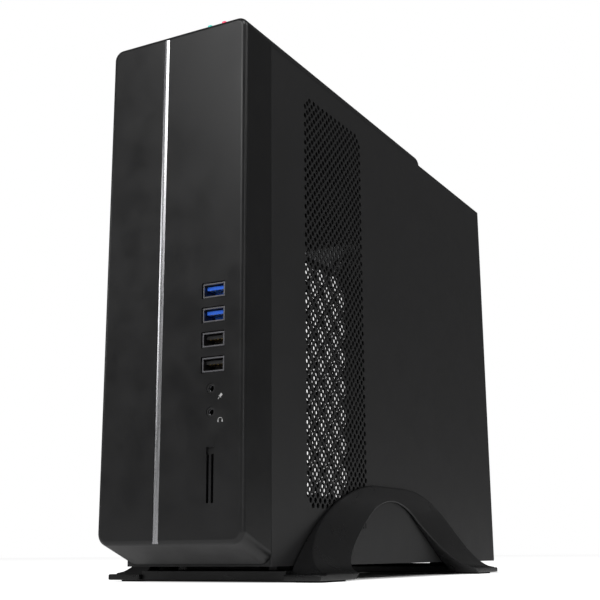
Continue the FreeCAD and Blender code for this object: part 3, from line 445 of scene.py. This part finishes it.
@dataclass(frozen=True)
class Shelf:
    """Every finish of the tower, built once and handed out by name."""

    made: dict[str, bpy.types.Material] = field(default_factory=dict)

    def stock(self) -> None:
        """Build every finish."""
        black = (0.0062, 0.0062, 0.0066)
        kinds = [
            MouldedPlastic("bezel_plastic", (0.0065, 0.0065, 0.0069), 0.33, 0.3 * MM, 0.006 * MM),
            MouldedPlastic("cap_plastic", (0.010, 0.010, 0.0105), 0.4),
            MouldedPlastic("stand_plastic", (0.006, 0.006, 0.0064), 0.3, 0.4 * MM, 0.006 * MM),
            MouldedPlastic("button_plastic", (0.014, 0.014, 0.015), 0.3),
            MouldedPlastic("black_plastic", black, 0.45),
            MouldedPlastic("fan_plastic", (0.009, 0.009, 0.0095), 0.38),
            MouldedPlastic("blue_plastic", (0.03, 0.17, 0.92), 0.35),
            MouldedPlastic("ssd_shell", (0.03, 0.03, 0.034), 0.4),
            MouldedPlastic("white_print", (0.55, 0.55, 0.55), 0.6),
            MouldedPlastic("amber_plastic", (0.7, 0.28, 0.03), 0.35),
            MouldedPlastic("lime_plastic", (0.12, 0.5, 0.08), 0.4),
            PowderCoat("cover_steel", (0.0095, 0.0095, 0.0100), 0.46, sheen=0.72),
            PowderCoat("vent_steel", (0.0095, 0.0095, 0.0100), 0.46, sheen=0.72),
            PowderCoat("chassis_steel", (0.009, 0.009, 0.0095), 0.5),
            BrushedMetal("bright_strip", (0.66, 0.66, 0.68), 0.26, Axis.Z),
            BrushedMetal("port_shell", (0.24, 0.24, 0.255), 0.36, Axis.Y),
            BrushedMetal("screw_steel", (0.09, 0.09, 0.095), 0.32, Axis.Y, 2500.0),
            BrushedMetal("heatsink_aluminium", (0.72, 0.72, 0.74), 0.34, Axis.Y),
            BrushedMetal("brass", (0.75, 0.5, 0.18), 0.25, Axis.X),
            BrushedMetal("gold_contact", (0.9, 0.62, 0.22), 0.2, Axis.Y),
            BrushedMetal("nickel_lid", (0.75, 0.74, 0.7), 0.25, Axis.Z),
            BrushedMetal("guard_wire", (0.6, 0.6, 0.62), 0.22, Axis.X),
            PlatedSteel("zinc_steel", (0.58, 0.59, 0.6)),
            PlatedSteel("psu_steel", (0.5, 0.51, 0.52), 0.38),
            PlatedSteel("drive_metal", (0.42, 0.43, 0.45), 0.4, 14 * MM),
            SoftRubber("pad_rubber", (0.012, 0.012, 0.012)),
            TintedLens("green_lens", (0.03, 0.45, 0.38), 0.8),
            TintedLens("red_lens", (0.85, 0.03, 0.1), 0.9),
            CircuitBoard("circuit_board", (0.006, 0.035, 0.014), (0.012, 0.07, 0.026)),
            CircuitBoard("memory_board", (0.005, 0.028, 0.012), (0.01, 0.05, 0.02)),
        ]
        for kind in kinds:
            self.made[kind.name] = kind.make()

    def put_on(self, piece: bpy.types.Object, name: str) -> None:
        """Dress one piece in one finish.

        Args:
            piece: the object.
            name: the finish.
        """
        piece.data.materials.clear()
        piece.data.materials.append(self.made[name])


SHELF = Shelf()
SLOTS: dict[str, str] = {entry["node"]: entry["material_slot"] for entry in frame["record"]["subparts"]}
BODY_OF: dict[str, str] = {node: body for body, nodes in frame["record"]["behaviour"]["bodies"].items()
                           for node in nodes}


# --- mesh helpers --------------------------------------------------------------------------------
def add_piece(name: str, mesh: bmesh.types.BMesh, finish: str, body: str,
              smooth_below: float = 40.0) -> bpy.types.Object:
    """Turn a finished bmesh into a piece that rides on a body.

    Args:
        name: the piece's name.
        mesh: its shape, in the row frame; it is freed here.
        finish: the finish's name.
        body: the CAD body it rides on.
        smooth_below: edges flatter than this many degrees are shaded smooth.

    Returns:
        The new object.
    """
    data = bpy.data.meshes.new(name)
    mesh.to_mesh(data)
    mesh.free()
    data.shade_smooth()
    data.set_sharp_from_angle(angle=math.radians(smooth_below))
    piece = bpy.data.objects.new(name, data)
    bpy.context.scene.collection.objects.link(piece)
    even = piece.modifiers.new("even_shading", "WEIGHTED_NORMAL")
    even.keep_sharp = True
    even.weight = 100
    SHELF.put_on(piece, finish)
    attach(piece, body)
    LOG.info("%s: %d faces", name, len(data.polygons))
    return piece


def softened(node: str, name: str, width: float, segments: int = 2,
             sharper_than: float = 35.0, clamp: bool = True) -> bpy.types.Object:
    """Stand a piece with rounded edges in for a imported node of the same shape.

    Args:
        node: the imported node.
        name: the new piece's name.
        width: how far the rounding reaches from each edge.
        segments: steps around an edge.
        sharper_than: edges that turn more than this many degrees are rounded.
        clamp: keep the rounding narrower than the shortest edges beside it.

    Returns:
        The new object.
    """
    mesh = bmesh.new()
    mesh.from_mesh(frame["nodes"][node].data)
    bmesh.ops.remove_doubles(mesh, verts=mesh.verts[:], dist=0.002 * MM)
    bmesh.ops.dissolve_limit(mesh, angle_limit=math.radians(0.4), verts=mesh.verts[:], edges=mesh.edges[:])
    limit = math.radians(sharper_than)
    sharp = [edge for edge in mesh.edges
             if len(edge.link_faces) == 2 and edge.calc_face_angle() > limit]
    bmesh.ops.bevel(mesh, geom=sharp, offset=width, offset_type="OFFSET", segments=segments,
                    profile=0.5, affect="EDGES", material=-1, clamp_overlap=clamp)
    piece = add_piece(name, mesh, SLOTS[node], BODY_OF[node])
    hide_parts(node)
    return piece


def box_mesh(low: Vector, high: Vector, mesh: bmesh.types.BMesh | None = None,
             edge: float = 0.0, segments: int = 2) -> bmesh.types.BMesh:
    """A box between two corners, with its edges rounded.

    Args:
        low: lowest corner.
        high: highest corner.
        mesh: the bmesh it is added to, or None for a new one.
        edge: width of the rounding, or 0 for none.
        segments: steps around an edge.

    Returns:
        The bmesh that holds the box.
    """
    mesh = mesh or bmesh.new()
    size = Vector(high) - Vector(low)
    middle = (Vector(high) + Vector(low)) / 2
    place = Matrix.Translation(middle) @ Matrix.Diagonal((*size, 1.0))
    made = bmesh.ops.create_cube(mesh, size=1.0, matrix=place)
    if edge:
        edges = list({line for vert in made["verts"] for line in vert.link_edges})
        bmesh.ops.bevel(mesh, geom=edges, offset=edge, segments=segments, profile=0.5,
                        affect="EDGES", material=-1, clamp_overlap=True)
    return mesh


AXIS_TURN: dict[Axis, Matrix] = {Axis.X: Matrix.Rotation(math.pi / 2, 4, "Y"),
                                 Axis.Y: Matrix.Rotation(-math.pi / 2, 4, "X"),
                                 Axis.Z: Matrix.Identity(4)}


def ring_mesh(centre: Vector, radius: float, thickness: float, axis: Axis,
              mesh: bmesh.types.BMesh | None = None, sides: int = 40,
              turns: int = 10) -> bmesh.types.BMesh:
    """A round ring, spun from a small circle.

    Args:
        centre: the ring's centre.
        radius: ring radius to the middle of its section.
        thickness: radius of its section.
        axis: the axis it goes around.
        mesh: the bmesh it is added to, or None for a new one.
        sides: steps around the ring.
        turns: steps around its section.

    Returns:
        The bmesh that holds it.
    """
    mesh = mesh or bmesh.new()
    section = Matrix.Translation((radius, 0, 0)) @ Matrix.Rotation(math.pi / 2, 4, "X")
    place = Matrix.Translation(centre) @ AXIS_TURN[axis]
    made = bmesh.ops.create_circle(mesh, cap_ends=False, segments=turns, radius=thickness,
                                   matrix=place @ section)
    edges = list({edge for vert in made["verts"] for edge in vert.link_edges})
    direction = place.to_3x3() @ Vector((0, 0, 1))
    bmesh.ops.spin(mesh, geom=made["verts"] + edges, cent=centre, axis=direction,
                   angle=2 * math.pi, steps=sides, use_merge=True)
    bmesh.ops.remove_doubles(mesh, verts=mesh.verts[:], dist=1e-7)
    bmesh.ops.recalc_face_normals(mesh, faces=mesh.faces[:])
    return mesh


def middle_of(node: str) -> Vector:
    """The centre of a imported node's box.

    Args:
        node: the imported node.

    Returns:
        The middle of its box.
    """
    low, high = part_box(node)
    return (low + high) / 2


# --- sub-assemblies ------------------------------------------------------------------------------
@dataclass
class FrontBezel:
    """The moulded front, its strip, its lights, its button and the raised cap behind it."""

    edge: float = 0.25 * MM
    crown: float = 0.35 * MM
    crown_steps: int = 12

    def build(self) -> None:
        """Dress the front."""
        softened("front_bezel", "bezel_shell", self.edge, 2)
        self.strip()
        softened("top_cap", "raised_cap", self.edge, 2)
        softened("power_button", "power_button_cap", 0.12 * MM, 2, 60.0)
        for node in ("power_light", "drive_light"):
            softened(node, node + "_lens", 0.08 * MM, 2, 60.0)

    def strip(self) -> None:
        """The bright strip, drawn with a lightly crowned face."""
        low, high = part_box("silver_strip")
        half, middle = (high.x - low.x) / 2, (high.x + low.x) / 2
        section = [Vector((middle + half * t, low.y + self.crown * t * t, 0.0))
                   for t in (2 * step / self.crown_steps - 1 for step in range(self.crown_steps + 1))]
        section += [Vector((high.x, high.y, 0.0)), Vector((low.x, high.y, 0.0))]
        mesh = bmesh.new()
        face = mesh.faces.new([mesh.verts.new(point + Vector((0, 0, low.z))) for point in section])
        made = bmesh.ops.extrude_face_region(mesh, geom=[face])
        raised = [item for item in made["geom"] if isinstance(item, bmesh.types.BMVert)]
        bmesh.ops.translate(mesh, vec=Vector((0, 0, high.z - low.z)), verts=raised)
        bmesh.ops.recalc_face_normals(mesh, faces=mesh.faces[:])
        piece = add_piece("bright_strip_bar", mesh, SLOTS["silver_strip"], "case")
        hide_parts("silver_strip")


@dataclass
class FrontPorts:
    """USB sockets, audio jacks and their marks."""

    contacts_per_port: int = 4
    contact_width: float = 1.1 * MM
    contact_pitch: float = 2.5 * MM
    contact_reach: tuple[float, float] = (2.9 * MM, 10.5 * MM)
    contact_rise: tuple[float, float] = (0.28 * MM, 0.52 * MM)
    spring_place: float = 3.4 * MM
    spring_half: float = 1.0 * MM
    spring_reach: tuple[float, float] = (1.6 * MM, 6.5 * MM)
    spring_rise: tuple[float, float] = (0.75 * MM, 1.25 * MM)
    ring_depth: float = 1.2 * MM
    ring_radius: float = 1.72 * MM
    ring_section: float = 0.16 * MM
    mark_line: float = 0.28 * MM
    mark_depth: float = 0.25 * MM
    proud: float = 0.015 * MM

    def build(self) -> None:
        """Build the contacts and the marks."""
        for node in ("usb3_upper_shell", "usb3_lower_shell", "usb2_upper_shell", "usb2_lower_shell"):
            softened(node, node.replace("_shell", "_sleeve"), 0.12 * MM, 2, 60.0)
            self.contacts(node)
            self.springs(node)
        for node in ("microphone_jack", "headphone_jack"):
            self.jack_lining(node)
        self.microphone_mark()
        self.headphone_mark()

    def contacts(self, node: str) -> None:
        """Gold blades on the underside of one tongue.

        Args:
            node: the port's shell.
        """
        front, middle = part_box(node)[0].y, middle_of(node)
        mesh = bmesh.new()
        for step in range(self.contacts_per_port):
            x = middle.x + (step - (self.contacts_per_port - 1) / 2) * self.contact_pitch
            start, end = (Vector((x + side * self.contact_width / 2, front + reach, middle.z + rise))
                          for side, reach, rise in zip((-1, 1), self.contact_reach, self.contact_rise))
            box_mesh(start, end, mesh, 0.05 * MM, 1)
        add_piece(node.replace("_shell", "_contacts"), mesh, "gold_contact", "case")

    def springs(self, node: str) -> None:
        """Two leaf springs pressed out of one shell's floor.

        Args:
            node: the port's shell.
        """
        low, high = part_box(node)
        mesh = bmesh.new()
        for side in (-1, 1):
            x = (low.x + high.x) / 2 + side * self.spring_place
            start, end = (Vector((x + way * self.spring_half, low.y + reach, low.z + rise))
                          for way, reach, rise in zip((-1, 1), self.spring_reach, self.spring_rise))
            box_mesh(start, end, mesh, 0.12 * MM, 2)
        add_piece(node.replace("_shell", "_springs"), mesh, "port_shell", "case")

    def jack_lining(self, node: str) -> None:
        """A plated ring just inside one audio jack.

        Args:
            node: the jack.
        """
        low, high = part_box(node)
        centre = Vector(((low.x + high.x) / 2, low.y + self.ring_depth, (low.z + high.z) / 2))
        mesh = ring_mesh(centre, self.ring_radius, self.ring_section, Axis.Y)
        add_piece(node + "_ring", mesh, "port_shell", "case")

    def mark_box(self, mesh: bmesh.types.BMesh, x: float, z: float, width: float, height: float,
                 turn: float = 0.0) -> None:
        """One small raised bar of a printed mark.

        Args:
            mesh: the mark's bmesh.
            x: centre across.
            z: centre height.
            width: size across.
            height: size upwards.
            turn: turn about the front's normal, in degrees.
        """
        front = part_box("front_bezel")[0].y
        centre = Matrix.Translation((x, front - self.proud + self.mark_depth / 2, z))
        place = centre @ Matrix.Rotation(math.radians(turn), 4, "Y")
        bmesh.ops.create_cube(mesh, size=1.0,
                              matrix=place @ Matrix.Diagonal((width, self.mark_depth, height, 1.0)))

    def microphone_mark(self) -> None:
        """A plain tilted microphone shape beside its jack."""
        at = middle_of("microphone_jack")
        x, z = at.x + 6.1 * MM, at.z - 4.8 * MM
        mesh = bmesh.new()
        self.mark_box(mesh, x + 0.5 * MM, z + 0.6 * MM, 1.3 * MM, 2.0 * MM, 40)
        self.mark_box(mesh, x - 0.75 * MM, z - 0.85 * MM, self.mark_line, 1.8 * MM, 40)
        self.mark_box(mesh, x - 0.1 * MM, z - 0.2 * MM, 2.0 * MM, self.mark_line, 40)
        add_piece("microphone_mark", mesh, "white_print", "case")

    def headphone_mark(self) -> None:
        """A plain headphone shape beside its jack."""
        at = middle_of("headphone_jack")
        x, z = at.x + 6.3 * MM, at.z - 4.7 * MM
        radius, steps = 1.35 * MM, 8
        mesh = bmesh.new()
        for step in range(steps):
            angle = math.pi * (step + 0.5) / steps
            self.mark_box(mesh, x + radius * math.cos(angle), z + radius * math.sin(angle),
                          0.56 * MM, self.mark_line, 90 - math.degrees(angle))
        for side in (-1, 1):
            self.mark_box(mesh, x + side * radius, z - 0.55 * MM, 0.62 * MM, 1.2 * MM)
        add_piece("headphone_mark", mesh, "white_print", "case")


class Connector(enum.Enum):
    """What sits in one opening of the rear connectors."""

    STACKED = "two flat sockets, one above the other"
    NETWORK = "eight sprung wires and two lights"
    SOUND = "a round jack"


@dataclass(frozen=True)
class RearSocket:
    """One metal connector block at the rear, measured in millimetres."""

    low: float
    reach: float
    tall: float
    kind: Connector
    finish: str = "black_plastic"

    def openings(self, right: float) -> list[tuple[float, float]]:
        """The X limits of its openings.

        Args:
            right: X of the board's face, in millimetres.

        Returns:
            A low and a high X for each opening.
        """
        start = right - self.reach
        if self.reach <= 20:
            return [(start + 2, right - 3)]
        return [(x, x + self.reach / 2 - 5) for x in (start + 3, start + 2 + self.reach / 2)]


REAR_SOCKETS: tuple[RearSocket, ...] = (
    RearSocket(0, 34, 14, Connector.STACKED), RearSocket(18, 32, 17, Connector.STACKED, "blue_plastic"),
    RearSocket(38, 14, 16, Connector.SOUND, "lime_plastic"), RearSocket(58, 16, 15, Connector.NETWORK),
    RearSocket(80, 30, 16, Connector.STACKED, "blue_plastic"), RearSocket(100, 30, 16, Connector.STACKED),
    RearSocket(122, 34, 13, Connector.STACKED))


@dataclass
class RearPorts:
    """The inner parts of the rear connectors."""

    wall: float = 2.0
    depth: float = 7.6
    shelf_half: float = 0.35
    tongue_inset: float = 1.2
    tongue_height: float = 1.3
    blade_half: float = 0.4
    blade_pitch: float = 1.8
    wire_half: float = 0.22
    wire_pitch: float = 1.02
    light_width: float = 2.4

    def build(self) -> None:
        """Fill every opening with what belongs in it."""
        low, high = (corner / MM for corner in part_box("rear_ports"))
        meshes: dict[str, bmesh.types.BMesh] = {}
        for socket in REAR_SOCKETS:
            for x_low, x_high in socket.openings(high.x + 0.1):
                z = low.z + socket.low
                room = (Vector((x_low, high.y - self.depth, z + self.wall)),
                        Vector((x_high, high.y - 0.6, z + socket.tall - self.wall)))
                fill = {Connector.STACKED: self.stacked, Connector.NETWORK: self.network,
                        Connector.SOUND: self.sound}[socket.kind]
                fill(meshes, socket, *room)
        for finish, mesh in meshes.items():
            add_piece("rear_" + finish, mesh, finish, "case")

    def bar(self, meshes: dict[str, bmesh.types.BMesh], finish: str, low: Sequence[float],
            high: Sequence[float], edge: float = 0.1) -> None:
        """Add a small rounded block to the mesh of one finish, in millimetres.

        Args:
            meshes: the meshes so far, by finish.
            finish: the finish's name.
            low: lowest corner.
            high: highest corner.
            edge: width of the rounding.
        """
        mesh = meshes.setdefault(finish, bmesh.new())
        box_mesh(Vector(low) * MM, Vector(high) * MM, mesh, edge * MM, 1)

    def stacked(self, meshes: dict[str, bmesh.types.BMesh], socket: RearSocket, low: Vector,
                high: Vector) -> None:
        """Two flat tongues with gold blades and a metal shelf between them.

        Args:
            meshes: the meshes so far, by finish.
            socket: the connector block.
            low: lowest corner of its opening, in millimetres.
            high: highest corner of its opening, in millimetres.
        """
        middle = (low.z + high.z) / 2
        self.bar(meshes, "port_shell", (low.x, low.y, middle - self.shelf_half),
                 (high.x, high.y, middle + self.shelf_half))
        for z in ((low.z + middle) / 2, (middle + high.z) / 2):
            self.bar(meshes, socket.finish, (low.x + self.tongue_inset, low.y, z),
                     (high.x - self.tongue_inset, high.y - self.tongue_inset, z + self.tongue_height))
            for step in range(4):
                x = (low.x + high.x) / 2 + (step - 1.5) * self.blade_pitch
                self.bar(meshes, "gold_contact", (x - self.blade_half, low.y, z - 0.18),
                         (x + self.blade_half, high.y - 1.8, z), 0.04)

    def network(self, meshes: dict[str, bmesh.types.BMesh], socket: RearSocket, low: Vector,
                high: Vector) -> None:
        """A stepped black insert with eight wires and two lights at its foot.

        Args:
            meshes: the meshes so far, by finish.
            socket: the connector block.
            low: lowest corner of its opening, in millimetres.
            high: highest corner of its opening, in millimetres.
        """
        self.bar(meshes, socket.finish, (low.x, low.y, low.z), (high.x, high.y - 3, low.z + 1.2))
        self.bar(meshes, socket.finish, (low.x, low.y, high.z - 1.6), (high.x, high.y, high.z))
        for step in range(8):
            x = (low.x + high.x) / 2 + (step - 3.5) * self.wire_pitch
            self.bar(meshes, "gold_contact", (x - self.wire_half, low.y, high.z - 3.2),
                     (x + self.wire_half, high.y - 1, high.z - 2.8), 0.04)
        for x, finish in ((low.x, "lime_plastic"), (high.x - self.light_width, "amber_plastic")):
            self.bar(meshes, finish, (x, high.y - 2, low.z),
                     (x + self.light_width, high.y + 0.2, low.z + 1.6), 0.2)

    def sound(self, meshes: dict[str, bmesh.types.BMesh], socket: RearSocket, low: Vector,
              high: Vector) -> None:
        """A coloured collar around a round jack in a black body.

        Args:
            meshes: the meshes so far, by finish.
            socket: the connector block.
            low: lowest corner of its opening, in millimetres.
            high: highest corner of its opening, in millimetres.
        """
        centre = Vector(((low.x + high.x) / 2, high.y - 1.2, (low.z + high.z) / 2)) * MM
        self.bar(meshes, "black_plastic", low, (high.x, high.y - 3.5, high.z))
        collar = meshes.setdefault(socket.finish, bmesh.new())
        ring_mesh(centre, 3.0 * MM, 0.9 * MM, Axis.Y, collar)
        lining = meshes.setdefault("port_shell", bmesh.new())
        ring_mesh(centre, 2.0 * MM, 0.25 * MM, Axis.Y, lining)


SOFT_EDGES: dict[str, tuple[float, float]] = {
    "rear_ports": (0.2, 50.0), "psu_housing": (0.3, 60.0), "slot_cover": (0.3, 50.0),
    "power_inlet": (0.25, 60.0), "rocker_frame": (0.25, 60.0), "rocker": (0.3, 20.0),
    "hard_drive": (0.4, 60.0), "solid_state_drive": (0.4, 60.0), "drive_bracket": (0.2, 60.0),
    "microphone_jack": (0.12, 60.0), "headphone_jack": (0.12, 60.0)}


@dataclass
class SteelCase:
    """The chassis, the two side covers and what shows through the rear wall."""

    edge: float = 0.35 * MM

    def build(self) -> None:
        """Round the folded edges of the sheet metal."""
        for side in ("left", "right"):
            softened(side + "_cover", side + "_cover_sheet", self.edge, 2, 50.0)
        softened("chassis_frame", "chassis_sheet", 0.2 * MM, 1, 50.0)
        for node, (width, angle) in SOFT_EDGES.items():
            softened(node, node + "_body", width * MM, 2, angle)


@dataclass
class Stand:
    """Arches, cross bars and pads, with a dark rubber strip between each bar and the case that also stands in
    for the shade in that gap.
    """

    edge: float = 0.8 * MM
    strip_height: float = 2.7 * MM
    strip_recess: float = 12.0 * MM
    strip_gaps: tuple[tuple[str, float], ...] = (("front", 0.05 * MM), ("rear", 1.0 * MM))
    strip_runs: tuple[tuple[float, float], ...] = ((-46.0, -38.2), (-25.8, 25.8), (38.2, 46.0))

    def build(self) -> None:
        """Round the moulded edges of the stand."""
        for side in ("left", "right"):
            softened("stand_arch_" + side, "arch_" + side, self.edge, 3, 50.0, clamp=False)
        for end, gap in self.strip_gaps:
            softened("stand_bar_" + end, "cross_bar_" + end, self.edge, 2, 60.0)
            self.rubber_and_shade_strip(end, gap)

    def rubber_and_shade_strip(self, end: str, gap: float) -> None:
        """A dark rubber strip on one cross bar, in three runs beside its bosses; it closes the gap below the
        case and stands in for the shade there.

        Args:
            end: front or rear.
            gap: from the strip to the underside of the case.
        """
        low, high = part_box("stand_bar_" + end)
        mesh = bmesh.new()
        for start, stop in self.strip_runs:
            box_mesh(Vector((start * MM, low.y + self.strip_recess, high.z - self.strip_height)),
                     Vector((stop * MM, high.y - self.strip_recess, high.z - gap)),
                     mesh, 0.2 * MM, 2)
        # painted shade: the dark strip fills the gap between bar and case where only shade would show
        add_piece("rubber_and_shade_strip_" + end, mesh, "pad_rubber", "case")


def dress_packed_nodes() -> None:
    """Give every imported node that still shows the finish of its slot."""
    for node, piece in frame["nodes"].items():
        SHELF.put_on(piece, SLOTS[node])


# --- studio --------------------------------------------------------------------------------------
@dataclass(frozen=True)
class Lamp:
    """One rectangular soft light that faces the object."""

    name: str
    place: tuple[float, float, float]
    size: tuple[float, float]
    power: float
    target: tuple[float, float, float] = (0.0, 0.0, 0.16)

    def add(self) -> None:
        """Put the light in the scene."""
        data = bpy.data.lights.new(self.name, "AREA")
        data.shape = "RECTANGLE"
        data.size, data.size_y = self.size
        data.energy = self.power
        light = bpy.data.objects.new(self.name, data)
        light.location = self.place
        way = Vector(self.target) - Vector(self.place)
        light.rotation_euler = way.to_track_quat("-Z", "Y").to_euler()
        bpy.context.scene.collection.objects.link(light)


LAMPS: tuple[Lamp, ...] = (
    Lamp("front_light", (-0.39, -2.04, 1.48), (1.3, 1.0), 18.0),
    Lamp("strip_light", (-2.00, -1.36, 0.76), (0.8, 0.5), 3.5),
    Lamp("edge_light", (2.30, -1.30, 0.80), (0.4, 1.4), 4.0),
    Lamp("over_light", (1.50, 0.00, 1.50), (0.9, 0.9), 6.0),
    Lamp("corner_light", (0.90, -1.30, 2.30), (0.5, 0.5), 17.0),
)


@dataclass(frozen=True)
class Studio:
    """Plain pale floor, soft lights and the camera; angles are in degrees and lengths in metres."""

    camera_place: tuple[float, float, float] = (0.3514, -0.69425, 0.0157)
    yaw: float = 28.64
    pitch: float = 13.51
    roll: float = -0.39
    lens: float = 63.4
    floor_size: float = 12.0
    floor_glow: float = 0.85
    floor_bounce: float = 0.14
    surround: float = 0.090
    shade_middle: float = 0.015
    shade_half: tuple[float, float] = (0.062, 0.170)
    shade_blur: tuple[float, float] = (-0.008, 0.012)

    def build(self) -> None:
        """Set up the studio."""
        self.floor()
        for lamp in LAMPS:
            lamp.add()
        self.world()
        self.camera()

    def floor(self) -> None:
        """A large pale floor at the height of the feet, bright enough to melt into the surround."""
        mesh = bmesh.new()
        bmesh.ops.create_grid(mesh, x_segments=1, y_segments=1, size=self.floor_size / 2)
        data = bpy.data.meshes.new("floor")
        mesh.to_mesh(data)
        mesh.free()
        floor = bpy.data.objects.new("floor", data)
        bpy.context.scene.collection.objects.link(floor)
        graph = Graph("pale_floor")
        tone = graph.noise(3.0, 2.0)
        colour = graph.mix(tone, (0.93, 0.93, 0.93), (0.96, 0.96, 0.96))
        graph.shader.inputs["Emission Color"].default_value = (1.0, 1.0, 1.0, 1.0)
        graph.link(self.glow(graph), graph.shader.inputs["Emission Strength"])
        graph.dress(colour, graph.ramp(tone, 0.7, 0.8), graph.bump(tone, 0.0001))
        data.materials.append(graph.material)

    def glow(self, graph: Graph) -> bpy.types.NodeSocket:
        """The floor's glow: white to the camera, dim in reflections, none below the case, where the missing
        glow is a painted shadow.

        Args:
            graph: the floor's shader nodes.

        Returns:
            The strength of the glow.
        """
        sight = graph.tree.nodes.new("ShaderNodeLightPath").outputs["Is Camera Ray"]
        strength = graph.ramp(sight, self.floor_bounce, self.floor_glow, 0.0, 1.0)
        place = graph.tree.nodes.new("ShaderNodeSeparateXYZ")
        graph.link(graph.place, place.inputs["Vector"])
        back = graph.math("SUBTRACT", place.outputs["Y"], self.shade_middle)
        far = [graph.math("SUBTRACT", graph.math("ABSOLUTE", way), half)
               for way, half in zip((place.outputs["X"], back), self.shade_half)]
        # painted shadow: the glow fades to none over the floor below the case
        clear = graph.ramp(graph.math("MAXIMUM", *far), 0.0, 1.0, *self.shade_blur)
        return graph.math("MULTIPLY", strength, clear)

    def world(self) -> None:
        """An even surround that shows white to the camera and stays dim in reflections."""
        world = bpy.data.worlds.new("surround")
        world.use_nodes = True
        tree = world.node_tree
        tree.nodes.clear()
        output = tree.nodes.new("ShaderNodeOutputWorld")
        seen = tree.nodes.new("ShaderNodeBackground")
        lit = tree.nodes.new("ShaderNodeBackground")
        seen.inputs["Strength"].default_value = 1.0
        seen.inputs["Color"].default_value = (1, 1, 1, 1)
        lit.inputs["Color"].default_value = (1, 1, 1, 1)
        lit.inputs["Strength"].default_value = self.surround
        path = tree.nodes.new("ShaderNodeLightPath")
        mix = tree.nodes.new("ShaderNodeMixShader")
        tree.links.new(path.outputs["Is Camera Ray"], mix.inputs["Fac"])
        tree.links.new(lit.outputs["Background"], mix.inputs[1])
        tree.links.new(seen.outputs["Background"], mix.inputs[2])
        tree.links.new(mix.outputs["Shader"], output.inputs["Surface"])
        bpy.context.scene.world = world

    def camera(self) -> None:
        """The camera, low in front and to the right, tilted slightly up."""
        yaw, pitch, roll = (math.radians(angle) for angle in (self.yaw, self.pitch, self.roll))
        forward = Vector((-math.sin(yaw) * math.cos(pitch), math.cos(yaw) * math.cos(pitch), math.sin(pitch)))
        level = Vector((math.cos(yaw), math.sin(yaw), 0))
        upright = level.cross(forward)
        right = level * math.cos(roll) + upright * math.sin(roll)
        above = upright * math.cos(roll) - level * math.sin(roll)
        data = bpy.data.cameras.new("camera")
        data.lens = self.lens
        data.sensor_width = 36.0
        data.clip_start, data.clip_end = 0.01, 50.0
        camera = bpy.data.objects.new("camera", data)
        turn = Matrix((right, above, -forward)).transposed().to_4x4()
        camera.matrix_world = Matrix.Translation(self.camera_place) @ turn
        bpy.context.scene.collection.objects.link(camera)
        bpy.context.scene.camera = camera
        bpy.context.scene.view_settings.view_transform = "Standard"


def main() -> None:
    """Build the studio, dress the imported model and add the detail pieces."""
    logging.basicConfig(level=logging.INFO, format="%(name)s %(message)s")
    SHELF.stock()
    dress_packed_nodes()
    Studio().build()
    FrontBezel().build()
    FrontPorts().build()
    SteelCase().build()
    RearPorts().build()
    Stand().build()


if __name__ == "__main__":
    main()
